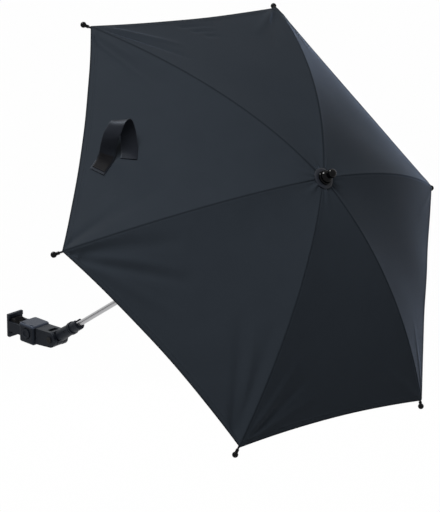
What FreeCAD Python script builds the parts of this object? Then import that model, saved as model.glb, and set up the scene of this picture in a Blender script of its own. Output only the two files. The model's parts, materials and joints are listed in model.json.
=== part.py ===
import FreeCAD, Part
import math
import os

V = FreeCAD.Vector

# General fits
over = 2.0
run_play = 0.05
slide_play = 0.3
seat_play = 0.05
thread_play = 0.02

# Pram tube and clamp jaws
tube_d = 20.5
tube_side_gap = 0.6
pad_back_t = 2.75
pad_w = 17.6
pad_h = 22.0
leg_t = 3.0
leg_h = 15.0
leg_grip = 7.5
jaw_t = 7.8
jaw_up = 18.4
jaw_down = 17.4
jaw_lip = 1.7
jaw_lip_h = 6.4
jaw_foot = 1.2
jaw_foot_h = 5.6
jaw_round = 6.0
jaw_tighten = 4.0
jaw_travel = 15.5

# Clamp block
block_l = 31.5
block_side = 2.4
block_up = 11.2
block_down = 15.8
block_wall = 3.0
block_round = 3.4
cover_t = 3.2
cover_over = 0.7
cover_round = 2.6
cover_corner = 5.0
cover_rib_l = 6.0
cover_rib_w = 1.8
cover_rib_h = 0.9
cover_rib_inset = 2.2
cover_rib_shares = (0.24, 0.78)

# Release button
button_d = 15.2
button_ring_gap = 0.9
button_proud = 1.4
button_dish_d = 9.4
button_dish = 0.7
button_travel = 1.6
stem_d = 6.0
shoe_l = 10.0
shoe_t = 3.0
shoe_h = 13.0
shoe_gap = 0.1
spring_wire_d = 0.8
spring_d = 7.0
spring_turns = 4
spring_len = 6.5

# Swivel, knuckle and elbow
swivel_gap = 0.3
swivel_d = 21.5
swivel_t = 3.7
swivel_bolt_d = 6.0
swivel_head_d = 10.0
swivel_head_t = 4.0
swivel_grip = 9.0
knuckle_w = 27.0
knuckle_h = 25.2
knuckle_web = 19.4
cheek_t = 6.0
cheek_end_r = 11.7
cheek_bevel = 5.0
elbow_reach = 32.0
elbow_lift = 2.0
arm_rise = 35.0
elbow_pin_d = 6.0
elbow_head_d = 9.5
elbow_head_t = 1.6
elbow_nut_d = 10.0
elbow_nut_t = 4.0
washer_t = 0.9
washer_d = 18.5
washer_gap = 0.05

# Socket arm
barrel_d = 22.8
arm_neck_w = 15.8
arm_start = 13.5
arm_base_d = 18.6
arm_top_d = 16.4
collar_at = 41.0
collar_l = 5.6
collar_d = 19.2
collar_groove = 0.8
collar_groove_l = 1.2
mouth_at = 63.0
mouth_d = 16.8
mouth_notch_w = 8.6
mouth_notch_l = 12.0
socket_floor = 20.0
rivet_at = 33.0
rivet_d = 3.2
rivet_dish = 0.6

# Shaft, crown and runner
shaft_d = 8.0
shaft_bore = 6.4
crown_at = 634.0
pivot_r = 9.5
pivot_drop = 7.0
crown_d = 25.0
crown_up = 4.6
crown_down = 7.4
crown_slot_w = 2.4
crown_slot_r = 6.4
pin_d = 1.6
pin_l = 7.0
runner_flange_d = 26.0
runner_flange_h = 9.0
runner_slot_w = 3.2
runner_slot_r = 6.6
runner_d = 13.0
runner_l = 46.0
runner_bead_d = 14.0
runner_bead_h = 6.0
catch_w = 2.0
catch_l = 16.0
catch_out = 3.2
catch_gap = 0.4
catch_travel = 3.0
catch_lip = 2.0

# Canopy frame
rib_count = 6
canopy_turn = 24.0
corner_r = 338.0
dome_rise = 137.0
dome_power_share = 1.85
rib_d = 2.6
rib_bends = 4
rib_gap = 0.4
rib_plate_l = 11.5
rib_plate_t = 1.7
rib_plate_h = 3.2
rib_out = 3.4
eye_r = 2.2
joint_r = 150.0
lug_drop = 4.5
lug_half_l = 2.2
lug_t = 1.7
fork_gap_w = 2.1
fork_cheek_t = 1.2
fork_root = 3.8
fork_l = 9.0
fork_h = 3.6
fork_end_r = 2.3
fork_pin_d = 1.8
stretcher_t = 2.0
stretcher_h = 3.4
tip_ball_d = 8.0
tip_neck_d = 4.4
tip_start = 0.9
tip_reach = 7.8
tip_play = 0.05

# Canopy cloth
cloth_t = 1.2
cloth_hole_r = 7.0
cloth_sag = 5.0
hem_pull_share = 0.022
panel_edge_share = 0.998
grid_long = 14
grid_wide = 5

# Finial
cap_washer_gap = 0.3
cap_washer_t = 1.8
cap_washer_d = 29.0
cap_washer_bore = 10.6
cap_d = 19.0
cap_skirt_h = 3.0
cap_neck_d = 8.0
cap_neck_h = 11.0
cap_ball_d = 11.0
cap_ball_at = 16.5
cap_collar_d = 10.0
cap_stem_d = 5.6
cap_stem_l = 16.0

# Closing strap
strap_w = 21.0
strap_t = 1.0
strap_lift = 0.7
strap_foot_r_share = 0.653
strap_foot_side_share = 0.27
strap_reach = 40.0
strap_rise = 44.0
strap_sidestep = 31.0
strap_run_shares = (0.04, 0.23, 0.46, 0.68, 0.82, 0.89, 0.88, 0.74,
                    0.55, 0.38, 0.27, 0.18, 0.06, -0.1, -0.3, -0.52)
strap_out_shares = (0, 0, 0.02, 0.06, 0.11, 0.17, 0.25, 0.36,
                    0.47, 0.56, 0.62, 0.67, 0.72, 0.79, 0.89, 1)
strap_up_shares = (0, 0, 0.07, 0.23, 0.44, 0.66, 0.86, 0.93, 0.86, 0.73, 0.54, 0.32, 0.12, 0.02, 0, 0)
strap_droop_share = 0.5
strap_rib = 5
sheet_tolerance = 0.01
patch_t = 0.7
patch_gap = 0.2
patch_inset = 1.5
patch_from_share = 0.81
patch_to_share = 0.97
strap_steps = 49

# Values that follow from the sizes above
tube_r = tube_d / 2
leg_y = tube_r + tube_side_gap
leg_in = jaw_travel + leg_grip
jaw_w = 2 * (leg_y + leg_t)
block_w = jaw_w + 2 * (slide_play + block_side)
button_t = button_proud + block_side - button_travel
block_x = tube_r + pad_back_t
block_end = block_x + block_l
button_x = block_x + block_l / 2
button_face = -(block_w / 2 + button_proud)
shoe_y = -leg_y + shoe_gap
shoe_back = shoe_y + shoe_t
spring_seat = shoe_back + spring_len
elbow_x = block_end + elbow_reach
knuckle_x = block_end + swivel_gap
cheek_y = knuckle_w / 2 - cheek_t
barrel_w = 2 * (cheek_y - washer_t - 2 * washer_gap)
shaft_r = shaft_d / 2
catch_in = catch_travel - shaft_bore / 2 + 2 * slide_play
pivot_z = crown_at - pivot_drop
rib_step = 360.0 / rib_count
half_step = math.radians(rib_step) / 2
elbow = V(elbow_x, 0, elbow_lift)
arm_turn = FreeCAD.Rotation(V(0, 1, 0), 90.0 - arm_rise)
arm_place = FreeCAD.Placement(elbow, arm_turn)


def save(name, shape):
    shape.exportStep("parts/" + name + ".step")


def box(x0, x1, y0, y1, z0, z1):
    return Part.makeBox(x1 - x0, y1 - y0, z1 - z0, V(x0, y0, z0))


def rod(radius, start, end):
    return Part.makeCylinder(radius, (end - start).Length, start, end - start)


def turned(points):
    wire = Part.makePolygon([V(r, 0, z) for r, z in points + points[:1]])
    return Part.Face(wire).revolve(V(0, 0, 0), V(0, 0, 1), 360.0)


def plate(points, half):
    """Flat plate in the radial plane, from points given as radius and height."""
    wire = Part.makePolygon([V(x, -half, z) for x, z in points + points[:1]])
    return Part.Face(wire).extrude(V(0, 2 * half, 0))


def softened(shape, radius, choose):
    edges = [e for e in shape.Edges if choose(e)]
    return shape.makeFillet(radius, edges)


def along_z(edge):
    a, b = edge.Vertexes[0].Point, edge.Vertexes[-1].Point
    return abs(b.z - a.z) > abs(b.x - a.x) + abs(b.y - a.y)


def joined(shapes):
    whole = shapes[0]
    for piece in shapes[1:]:
        whole = whole.fuse(piece)
    return whole.removeSplitter()


def on_arm(shape):
    moved = shape.copy()
    moved.Placement = arm_place.multiply(moved.Placement)
    return moved


def on_rib(shape, number):
    moved = shape.copy()
    turn = FreeCAD.Rotation(V(0, 0, 1), canopy_turn + rib_step * (number - 1))
    moved.Placement = FreeCAD.Placement(V(0, 0, 0), turn).multiply(moved.Placement)
    return on_arm(moved)


# Clamp
def jaw_pad():
    body = box(-block_x + seat_play, 0, -pad_w / 2, pad_w / 2, -pad_h / 2, pad_h / 2)
    keep = box(-block_x, -tube_r / 2, -pad_w, pad_w, -pad_h, pad_h)
    return body.common(keep).cut(rod(tube_r, V(0, 0, -pad_h), V(0, 0, pad_h)))


def body_pad():
    body = box(0, block_x - seat_play, -pad_w / 2, pad_w / 2, -pad_h / 2, pad_h / 2)
    keep = box(tube_r / 2, block_x, -pad_w, pad_w, -pad_h, pad_h)
    return body.common(keep).cut(rod(tube_r, V(0, 0, -pad_h), V(0, 0, pad_h)))


def sliding_jaw():
    slab = box(-block_x - jaw_t, -block_x, -jaw_w / 2, jaw_w / 2, -jaw_down, jaw_up)
    slab = softened(slab, jaw_round, lambda e: e.CenterOfMass.x < -block_x - jaw_t / 2 - seat_play)
    root = -block_x - jaw_t + jaw_round
    lip = box(root, -block_x + jaw_lip, -jaw_w / 2, jaw_w / 2, jaw_up - jaw_lip_h, jaw_up)
    lip = softened(lip, jaw_lip / 2, lambda e: e.CenterOfMass.x > -block_x + jaw_lip - seat_play)
    foot = box(root, -block_x + jaw_foot, -jaw_w / 2, jaw_w / 2,
               -jaw_down, -jaw_down + jaw_foot_h)
    leg_end = block_x + leg_in
    legs = []
    for side in (-1, 1):
        inner, outer = sorted((side * leg_y, side * (leg_y + leg_t)))
        legs.append(box(root, leg_end, inner, outer, -leg_h / 2, leg_h / 2))
    whole = joined([slab, lip, foot] + legs)
    slot_from = button_x - jaw_tighten - stem_d / 2 - slide_play
    slot_half = stem_d / 2 + slide_play
    slot = box(slot_from, leg_end + over, -leg_y - leg_t - over, -leg_y + over, -slot_half, slot_half)
    return whole.cut(slot)


def clamp_body():
    body = box(block_x, block_end, -block_w / 2, block_w / 2, -block_down, block_up)
    top = block_up - seat_play
    body = softened(body, block_round, lambda e: e.CenterOfMass.z < top)
    cuts = []
    slot_end = block_x + leg_in + jaw_tighten + slide_play
    for side in (-1, 1):
        inner, outer = sorted((side * (leg_y - slide_play), side * (leg_y + leg_t + slide_play)))
        cuts.append(box(block_x - over, slot_end, inner, outer,
                        -leg_h / 2 - slide_play, leg_h / 2 + slide_play))
    recess_r = button_d / 2 + button_ring_gap
    cuts.append(rod(recess_r, V(button_x, -block_w / 2 - over, 0), V(button_x, -leg_y - leg_t, 0)))
    room_x = shoe_l / 2 + slide_play
    room_z = shoe_h / 2 + slide_play
    cuts.append(box(button_x - room_x, button_x + room_x, -leg_y - slide_play, spring_seat,
                    -room_z, block_up + over))
    head_r = swivel_head_d / 2 + slide_play
    head_from = block_end - block_wall - swivel_head_t - 2 * slide_play
    head_to = block_end - block_wall
    cuts.append(rod(head_r, V(head_from, 0, 0), V(head_to, 0, 0)))
    cuts.append(box(head_from, head_to, -head_r, head_r, 0, block_up + over))
    cuts.append(rod(swivel_bolt_d / 2 + run_play, V(head_from, 0, 0), V(block_end + over, 0, 0)))
    for cut in cuts:
        body = body.cut(cut)
    return body


def clamp_cover():
    z0 = block_up + seat_play
    x0, x1 = block_x - cover_over, block_end + cover_over
    half = block_w / 2 + cover_over
    lid = box(x0, x1, -half, half, z0, z0 + cover_t)
    lid = softened(lid, cover_corner, along_z)
    lid = softened(lid, cover_round, lambda e: e.CenterOfMass.z > z0 + cover_t - seat_play)
    y0 = -half + cover_over + cover_rib_inset
    ribs = []
    for share in cover_rib_shares:
        middle = x0 + (x1 - x0) * share
        ribs.append(box(middle - cover_rib_l / 2, middle + cover_rib_l / 2, y0, y0 + cover_rib_w,
                        z0 + cover_t / 2, z0 + cover_t + cover_rib_h))
    return joined([lid] + ribs)


def release_button():
    face = V(button_x, button_face, 0)
    back = V(button_x, button_face + button_t, 0)
    cap = rod(button_d / 2, face, back)
    dish = rod(button_dish_d / 2, face - V(0, over, 0), face + V(0, button_dish, 0))
    stem = rod(stem_d / 2, V(button_x, button_face + button_dish, 0), V(button_x, shoe_back, 0))
    shoe = box(button_x - shoe_l / 2, button_x + shoe_l / 2, shoe_y, shoe_back, -shoe_h / 2, shoe_h / 2)
    return joined([cap.cut(dish), stem, shoe])


def coil(radius, wire_r, length, turns):
    """Coil standing on the origin along +Z, its wire inside the given length."""
    rise = length - 2 * wire_r
    helix = Part.makeHelix(rise / turns, rise, radius)
    ring = Part.Wire(Part.makeCircle(wire_r, V(radius, 0, 0), V(0, 1, 0)))
    tube = Part.Wire(helix.Edges).makePipeShell([ring], True, True)
    tube.translate(V(0, 0, wire_r))
    return tube


def button_spring():
    length = spring_len - 2 * seat_play
    wire_r = spring_wire_d / 2
    wound = coil(spring_d / 2 - wire_r, wire_r, length, spring_turns)
    wound.rotate(V(0, 0, 0), V(1, 0, 0), -90.0)
    wound.translate(V(button_x, shoe_back + seat_play, 0))
    return wound


def swivel_bolt():
    head_from = block_end - block_wall - swivel_head_t - slide_play
    head_to = block_end - block_wall - slide_play
    head = rod(swivel_head_d / 2, V(head_from, 0, 0), V(head_to, 0, 0))
    end = knuckle_x + swivel_grip
    return joined([head, rod(swivel_bolt_d / 2, V(head_from, 0, 0), V(end, 0, 0))])


def knuckle():
    disc = rod(swivel_d / 2, V(knuckle_x, 0, 0), V(knuckle_x + swivel_t, 0, 0))
    web_x = knuckle_x + swivel_t / 2
    low = -knuckle_h / 2
    high = knuckle_h / 2
    profile = [(web_x, low), (elbow_x, elbow_lift - cheek_end_r), (elbow_x, elbow_lift + cheek_end_r),
               (web_x + cheek_bevel, high), (web_x, high)]
    near = box(web_x, web_x + knuckle_web, -knuckle_w, knuckle_w, -knuckle_h, knuckle_h)
    pieces = [disc, plate(profile, knuckle_w / 2).common(near)]
    for side in (-1, 1):
        cheek = plate(profile, cheek_t / 2)
        cheek = cheek.fuse(rod(cheek_end_r, V(elbow_x, -cheek_t / 2, elbow_lift),
                               V(elbow_x, cheek_t / 2, elbow_lift)))
        cheek.translate(V(0, side * (knuckle_w - cheek_t) / 2, 0))
        pieces.append(cheek)
    whole = joined(pieces)
    bolt = rod(swivel_bolt_d / 2 + thread_play, V(knuckle_x - over, 0, 0),
               V(knuckle_x + swivel_grip + slide_play, 0, 0))
    pin = rod(elbow_pin_d / 2 + thread_play, elbow - V(0, knuckle_w, 0), elbow + V(0, knuckle_w, 0))
    sweep = rod(barrel_d / 2 + 2 * slide_play, elbow - V(0, cheek_y, 0), elbow + V(0, cheek_y, 0))
    return whole.cut(bolt).cut(pin).cut(sweep)


def elbow_pin():
    out = V(0, knuckle_w / 2 + seat_play, 0)
    shank = rod(elbow_pin_d / 2, elbow - out, elbow + out + V(0, elbow_nut_t, 0))
    head = rod(elbow_head_d / 2, elbow - out - V(0, elbow_head_t, 0), elbow - out)
    return joined([head, shank])


def elbow_nut():
    start = elbow + V(0, knuckle_w / 2 + seat_play, 0)
    corners = []
    for k in range(7):
        t = math.radians(60.0 * k)
        corners.append(start + V(math.cos(t), 0, math.sin(t)) * (elbow_nut_d / 2))
    nut = Part.Face(Part.makePolygon(corners)).extrude(V(0, elbow_nut_t, 0))
    bore = rod(elbow_pin_d / 2 + thread_play, start - V(0, over, 0), start + V(0, elbow_nut_t + over, 0))
    return nut.cut(bore)


def friction_washers():
    rings = []
    for side in (-1, 1):
        a, b = sorted((side * (cheek_y - washer_gap), side * (cheek_y - washer_gap - washer_t)))
        ring = rod(washer_d / 2, elbow + V(0, a, 0), elbow + V(0, b, 0))
        bore = rod(elbow_pin_d / 2 + run_play, elbow + V(0, a - over, 0), elbow + V(0, b + over, 0))
        rings.append(ring.cut(bore))
    return Part.makeCompound(rings)


# Socket arm and shaft, along +Z from the elbow
def socket_arm():
    barrel = rod(barrel_d / 2, V(0, -barrel_w / 2, 0), V(0, barrel_w / 2, 0))
    neck = box(-arm_neck_w / 2, arm_neck_w / 2, -barrel_w / 2, barrel_w / 2, 0, arm_start + over)
    cone = Part.makeCone(arm_base_d / 2, arm_top_d / 2, collar_at - arm_start, V(0, 0, arm_start))
    mouth = rod(mouth_d / 2, V(0, 0, collar_at - seat_play), V(0, 0, mouth_at))
    whole = joined([barrel, neck, cone, mouth])
    bore = rod(shaft_r + seat_play, V(0, 0, socket_floor), V(0, 0, mouth_at + over))
    notch = box(-mouth_d, 0, -mouth_notch_w / 2, mouth_notch_w / 2,
                mouth_at - mouth_notch_l, mouth_at + over)
    pin = rod(elbow_pin_d / 2 + run_play, V(0, -barrel_w, 0), V(0, barrel_w, 0))
    hole = rod(rivet_d / 2 + thread_play, V(0, -arm_base_d, rivet_at), V(0, arm_base_d, rivet_at))
    return whole.cut(bore).cut(notch).cut(pin).cut(hole)


def arm_collar():
    inner = mouth_d / 2 + seat_play
    outer = collar_d / 2
    z0 = collar_at + seat_play
    mid = z0 + collar_l / 2
    g = collar_groove_l / 2
    return turned([(inner, z0), (outer, z0), (outer, mid - g), (outer - collar_groove, mid - g),
                   (outer - collar_groove, mid + g), (outer, mid + g), (outer, z0 + collar_l),
                   (inner, z0 + collar_l)])


def socket_rivet():
    taper_share = (rivet_at - arm_start) / (collar_at - arm_start)
    reach = (arm_base_d + (arm_top_d - arm_base_d) * taper_share) / 2 - rivet_dish
    return rod(rivet_d / 2, V(0, -reach, rivet_at), V(0, reach, rivet_at))


def runner_pivot_z():
    return 2 * joint_point()[1] - pivot_z


def catch_top():
    return runner_pivot_z() - runner_flange_h / 2 - runner_l - catch_gap


def shaft_tube():
    z0 = socket_floor + seat_play
    z1 = pivot_z + crown_up
    tube = rod(shaft_r, V(0, 0, z0), V(0, 0, z1))
    bore = rod(shaft_bore / 2, V(0, 0, z0 - over), V(0, 0, z1 + over))
    hole = rod(rivet_d / 2 + thread_play, V(0, -shaft_d, rivet_at), V(0, shaft_d, rivet_at))
    top = catch_top()
    half = catch_w / 2 + slide_play
    slot = box(0, shaft_d, -half, half, top - catch_l - slide_play, top + slide_play)
    slot.rotate(V(0, 0, 0), V(0, 0, 1), canopy_turn + rib_step / 2)
    return tube.cut(bore).cut(hole).cut(slot)


def runner_catch():
    top = catch_top()
    out = shaft_r + catch_out
    low = top - catch_l
    wedge = plate([(catch_in, low), (shaft_r, low), (out, top - catch_lip), (out, top), (catch_in, top)],
                  catch_w / 2)
    wedge.rotate(V(0, 0, 0), V(0, 0, 1), canopy_turn + rib_step / 2)
    return wedge


def crown():
    low = pivot_z - crown_down
    high = pivot_z + crown_up
    ring = turned([(shaft_r + seat_play, low), (crown_d / 2, low), (crown_d / 2, high),
                   (shaft_r + seat_play, high)])
    for k in range(rib_count):
        slot = box(crown_slot_r, crown_d, -crown_slot_w / 2, crown_slot_w / 2, low - over, high + over)
        bore = rod(pin_d / 2 + thread_play, V(pivot_r, -pin_l / 2, pivot_z), V(pivot_r, pin_l / 2, pivot_z))
        for cut in (slot, bore):
            cut.rotate(V(0, 0, 0), V(0, 0, 1), canopy_turn + rib_step * k)
            ring = ring.cut(cut)
    return ring


def crown_pins():
    pins = []
    for k in range(rib_count):
        half = pin_l / 2 - seat_play
        pin = rod(pin_d / 2, V(pivot_r, -half, pivot_z), V(pivot_r, half, pivot_z))
        pin.rotate(V(0, 0, 0), V(0, 0, 1), canopy_turn + rib_step * k)
        pins.append(pin)
    return Part.makeCompound(pins)


def runner():
    mid = runner_pivot_z()
    top = mid + runner_flange_h / 2
    low = mid - runner_flange_h / 2
    end = low - runner_l
    bore = shaft_r + run_play
    body = turned([(bore, end), (runner_bead_d / 2, end), (runner_bead_d / 2, end + runner_bead_h),
                   (runner_d / 2, end + runner_bead_h), (runner_d / 2, low), (runner_flange_d / 2, low),
                   (runner_flange_d / 2, top), (bore, top)])
    for k in range(rib_count):
        slot = box(runner_slot_r, runner_flange_d, -runner_slot_w / 2, runner_slot_w / 2,
                   low - over, top + over)
        slot.rotate(V(0, 0, 0), V(0, 0, 1), canopy_turn + rib_step * k)
        body = body.cut(slot)
    return body


# Canopy frame, built in the plane of one rib
def crest(radius):
    return crown_at - dome_rise * (radius / corner_r) ** dome_power_share


def crest_slope(radius):
    return -dome_rise * dome_power_share / corner_r * (radius / corner_r) ** (dome_power_share - 1)


def rib_line(radius):
    """Height of the rib's centre line, a constant gap below the cloth."""
    below = (rib_d / 2 + rib_gap) * math.sqrt(1 + crest_slope(radius) ** 2)
    return crest(radius) - cloth_t - below


def joint_point():
    slope = crest_slope(joint_r)
    down = lug_drop / math.sqrt(1 + slope ** 2)
    return joint_r + slope * down, rib_line(joint_r) - down


def rib_end():
    end_r = corner_r + rib_out
    slope = crest_slope(end_r)
    along = V(1, 0, slope).normalize()
    return V(end_r, 0, rib_line(end_r)), along


def arc_from(start, ahead, end):
    """Arc that leaves the start in the direction ahead and ends at the end."""
    chord = end - start
    along = V(chord).normalize()
    side = (ahead - along * ahead.dot(along)).normalize()
    bulge = math.tan(ahead.getAngle(along) / 2) * chord.Length / 2
    return Part.Arc(start, (start + end) * 0.5 + side * bulge, end).toShape()


def two_arcs(start, ahead, end, onward):
    """Two arcs that meet in a common tangent and keep the directions given at both ends."""
    chord = end - start
    bend = 2 * (1 - ahead.dot(onward))
    lead = chord.dot(ahead + onward)
    reach = (math.sqrt(lead ** 2 + bend * chord.dot(chord)) - lead) / bend
    meet = (start + end + (ahead - onward) * reach) * 0.5
    return [arc_from(start, ahead, meet), arc_from(end, onward * -1, meet)]


def rib():
    start_r = pivot_r + rib_plate_l - over
    end_r = corner_r + rib_out
    places = []
    for k in range(rib_bends + 1):
        radius = start_r + (end_r - start_r) * k / rib_bends
        places.append((V(radius, 0, rib_line(radius)), V(1, 0, crest_slope(radius)).normalize()))
    arcs = []
    for (start, ahead), (end, onward) in zip(places, places[1:]):
        arcs += two_arcs(start, ahead, end, onward)
    ring = Part.Wire(Part.makeCircle(rib_d / 2, places[0][0], places[0][1]))
    wire = Part.Wire(Part.__sortEdges__(arcs)).makePipeShell([ring], True, False)
    return joined([wire, rib_tab(), rib_lug()])


def rib_tab():
    """Flattened inner end of the rib with the eye on its crown pin."""
    far = pivot_r + rib_plate_l
    half = rib_plate_h / 2
    z = rib_line(far)
    outline = [(pivot_r, pivot_z - half), (far, z - half), (far, z + rib_d / 2), (pivot_r, pivot_z + half)]
    tab = plate(outline, rib_plate_t / 2)
    eye = rod(eye_r, V(pivot_r, -rib_plate_t / 2, pivot_z), V(pivot_r, rib_plate_t / 2, pivot_z))
    bore = rod(pin_d / 2 + run_play, V(pivot_r, -over, pivot_z), V(pivot_r, over, pivot_z))
    return joined([tab, eye]).cut(bore)


def rib_lug():
    """Lug under the rib that carries the stretcher's pin."""
    x, z = joint_point()
    lug = box(-lug_half_l, lug_half_l, -lug_t / 2, lug_t / 2, 0, lug_drop)
    eye = rod(lug_half_l, V(0, -lug_t / 2, 0), V(0, lug_t / 2, 0))
    bore = rod(fork_pin_d / 2 + run_play, V(0, -over, 0), V(0, over, 0))
    lug = joined([lug, eye]).cut(bore)
    lug.rotate(V(0, 0, 0), V(0, 1, 0), -math.degrees(math.atan(crest_slope(joint_r))))
    lug.translate(V(x, 0, z))
    return lug


def stretcher():
    x, z = joint_point()
    length = math.hypot(x - pivot_r, z - runner_pivot_z())
    bar = box(fork_root, length, -stretcher_t / 2, stretcher_t / 2, -stretcher_h / 2, stretcher_h / 2)
    foot = rod(eye_r, V(length, -stretcher_t / 2, 0), V(length, stretcher_t / 2, 0))
    outer = fork_gap_w / 2 + fork_cheek_t
    web = box(fork_root, fork_l, -outer, outer, -fork_h / 2, fork_h / 2)
    pieces = [bar, foot, web, rod(fork_pin_d / 2, V(0, -outer, 0), V(0, outer, 0))]
    for side in (-1, 1):
        a, b = sorted((side * fork_gap_w / 2, side * outer))
        pieces.append(rod(fork_end_r, V(0, a, 0), V(0, b, 0)))
        pieces.append(box(0, fork_root + seat_play, a, b, -fork_h / 2, fork_h / 2))
    whole = joined(pieces)
    drop = math.degrees(math.atan2(z - runner_pivot_z(), x - pivot_r))
    whole.rotate(V(0, 0, 0), V(0, 1, 0), 180.0 - drop)
    whole.translate(V(x, 0, z))
    return whole


def rib_tip():
    end, along = rib_end()
    start = end - along * (rib_out / along.x - tip_start)
    centre = start + along * tip_reach
    neck = rod(tip_neck_d / 2, start, centre)
    ball = Part.makeSphere(tip_ball_d / 2, centre)
    bore = rod(rib_d / 2 + tip_play, start - along * over, end + along * seat_play)
    return joined([neck, ball]).cut(bore)


# Canopy cloth: chords between neighbouring ribs, with a light sag and a drawn-in hem
def cloth_point(long_share, wide_share):
    across = wide_share * (2 - wide_share)
    hem = corner_r * (1 - hem_pull_share * across)
    radius = cloth_hole_r + (hem - cloth_hole_r) * long_share
    sag = cloth_sag * math.sin(math.pi * radius / corner_r) * across
    x = radius * (1 - wide_share * math.sin(half_step) ** 2)
    y = radius * wide_share * math.sin(half_step) * math.cos(half_step)
    return V(x, y, crest(radius) - sag)


def canopy_panel():
    halves = []
    for side in (-1, 1):
        grid = []
        for i in range(grid_long):
            row = []
            for j in range(grid_wide):
                p = cloth_point(i / (grid_long - 1), panel_edge_share * j / (grid_wide - 1))
                row.append(V(p.x, side * p.y, p.z))
            grid.append(row)
        surface = Part.BSplineSurface()
        surface.interpolate(grid)
        halves.append(surface.toShape().extrude(V(0, 0, -cloth_t)))
    return joined(halves)


# Finial
def canopy_washer():
    z0 = crown_at + cap_washer_gap
    inner, outer = cap_washer_bore / 2, cap_washer_d / 2
    return turned([(inner, z0), (outer, z0), (outer, z0 + cap_washer_t / 2),
                   (outer - cap_washer_t, z0 + cap_washer_t), (inner, z0 + cap_washer_t)])


def finial():
    z0 = crown_at + cap_washer_gap + cap_washer_t + seat_play
    r = cap_d / 2
    neck_r = cap_neck_d / 2
    skirt = Part.BSplineCurve()
    middle = V((r + neck_r) / 2, 0, z0 + (cap_skirt_h + cap_neck_h) / 2)
    skirt.interpolate([V(r, 0, z0 + cap_skirt_h), middle, V(neck_r, 0, z0 + cap_neck_h)])
    lines = [V(neck_r, 0, z0 + cap_neck_h), V(neck_r, 0, z0 + cap_ball_at), V(0, 0, z0 + cap_ball_at),
             V(0, 0, z0), V(r, 0, z0), V(r, 0, z0 + cap_skirt_h)]
    edges = [skirt.toShape()] + [Part.makeLine(a, b) for a, b in zip(lines, lines[1:])]
    body = Part.Face(Part.Wire(Part.__sortEdges__(edges))).revolve(V(0, 0, 0), V(0, 0, 1), 360.0)
    ball = Part.makeSphere(cap_ball_d / 2, V(0, 0, z0 + cap_ball_at))
    collar = rod(cap_collar_d / 2, V(0, 0, pivot_z + crown_up + seat_play), V(0, 0, z0 + seat_play))
    stem = rod(cap_stem_d / 2, V(0, 0, crown_at - cap_stem_l), V(0, 0, z0))
    return joined([body, ball, collar, stem])


# Closing strap: a ribbon sewn along the hem's direction, looped over itself beside its rib
def strap_point(run, out, up):
    """Point on the strap's middle line from its run along the hem, its way out and its height."""
    x = corner_r * strap_foot_r_share + out * math.cos(half_step) - run * math.sin(half_step)
    side = corner_r * strap_foot_side_share + out * math.sin(half_step) + run * math.cos(half_step)
    chord_r = x + side * math.tan(half_step)
    slope = crest_slope(chord_r)
    normal = V(-slope, slope * math.tan(half_step), 1).normalize()
    wide_share = side / (chord_r * math.sin(half_step) * math.cos(half_step))
    sag = cloth_sag * math.sin(math.pi * chord_r / corner_r) * wide_share * (2 - wide_share)
    outward = V(math.cos(half_step), -math.sin(half_step), slope / math.cos(half_step))
    drooping = outward - normal * (strap_droop_share * up / strap_rise)
    return V(x, -side, crest(chord_r) - sag) + normal * (up + strap_lift + strap_t / 2), drooping


def strap_rows(lift, from_share, to_share):
    """Middle points between two shares of the strap's length, with their width and face directions."""
    course = Part.BSplineCurve()
    shares = zip(strap_run_shares, strap_out_shares, strap_up_shares)
    course.interpolate([V(strap_reach * a, strap_sidestep * b, strap_rise * c) for a, b, c in shares])
    steps = course.discretize(Number=strap_steps)
    middle = [strap_point(p.x, p.y, max(p.z, 0)) for p in steps]
    rows = []
    last = len(middle) - 1
    for k in range(int(last * from_share), int(last * to_share) + 1):
        point, outward = middle[k]
        ahead = (middle[min(k + 1, last)][0] - middle[max(k - 1, 0)][0]).normalize()
        wide = (outward - ahead * outward.dot(ahead)).normalize()
        face = ahead.cross(wide).normalize()
        rows.append((point + face * lift, wide, face))
    return rows


def ribbon(rows, width, thick):
    """Sheet through the rows, thickened along its faces."""
    grid = []
    for point, wide, face in rows:
        low = point - face * (thick / 2)
        grid.append([low - wide * (width / 2), low, low + wide * (width / 2)])
    surface = Part.BSplineSurface()
    surface.interpolate(grid)
    return surface.toShape().makeOffsetShape(thick, sheet_tolerance, fill=True)


def closing_strap():
    return ribbon(strap_rows(0, 0, 1), strap_w, strap_t)


def strap_patch():
    lift = -(strap_t / 2 + patch_gap + patch_t / 2)
    return ribbon(strap_rows(lift, patch_from_share, patch_to_share), strap_w - 2 * patch_inset, patch_t)


def main():
    os.makedirs("parts", exist_ok=True)
    for make in (jaw_pad, body_pad, sliding_jaw, clamp_body, clamp_cover, release_button, button_spring,
                 swivel_bolt, knuckle, elbow_pin, elbow_nut, friction_washers):
        save(make.__name__, make())
    for make in (socket_arm, arm_collar, socket_rivet, shaft_tube, runner_catch, crown, crown_pins, runner,
                 canopy_washer, finial):
        save(make.__name__, on_arm(make()))
    for make in (rib, rib_tip, stretcher, canopy_panel):
        shape = make()
        for number in range(1, rib_count + 1):
            save(make.__name__ + "_" + str(number), on_rib(shape, number))
    for make in (closing_strap, strap_patch):
        save(make.__name__, on_rib(make(), strap_rib))


main()
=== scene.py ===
import json
import math

import bmesh
import bpy
import numpy as np
from bpy.props import FloatProperty, FloatVectorProperty, IntProperty, PointerProperty
from bpy.types import Operator, Panel, PropertyGroup
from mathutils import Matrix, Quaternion, Vector


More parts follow.
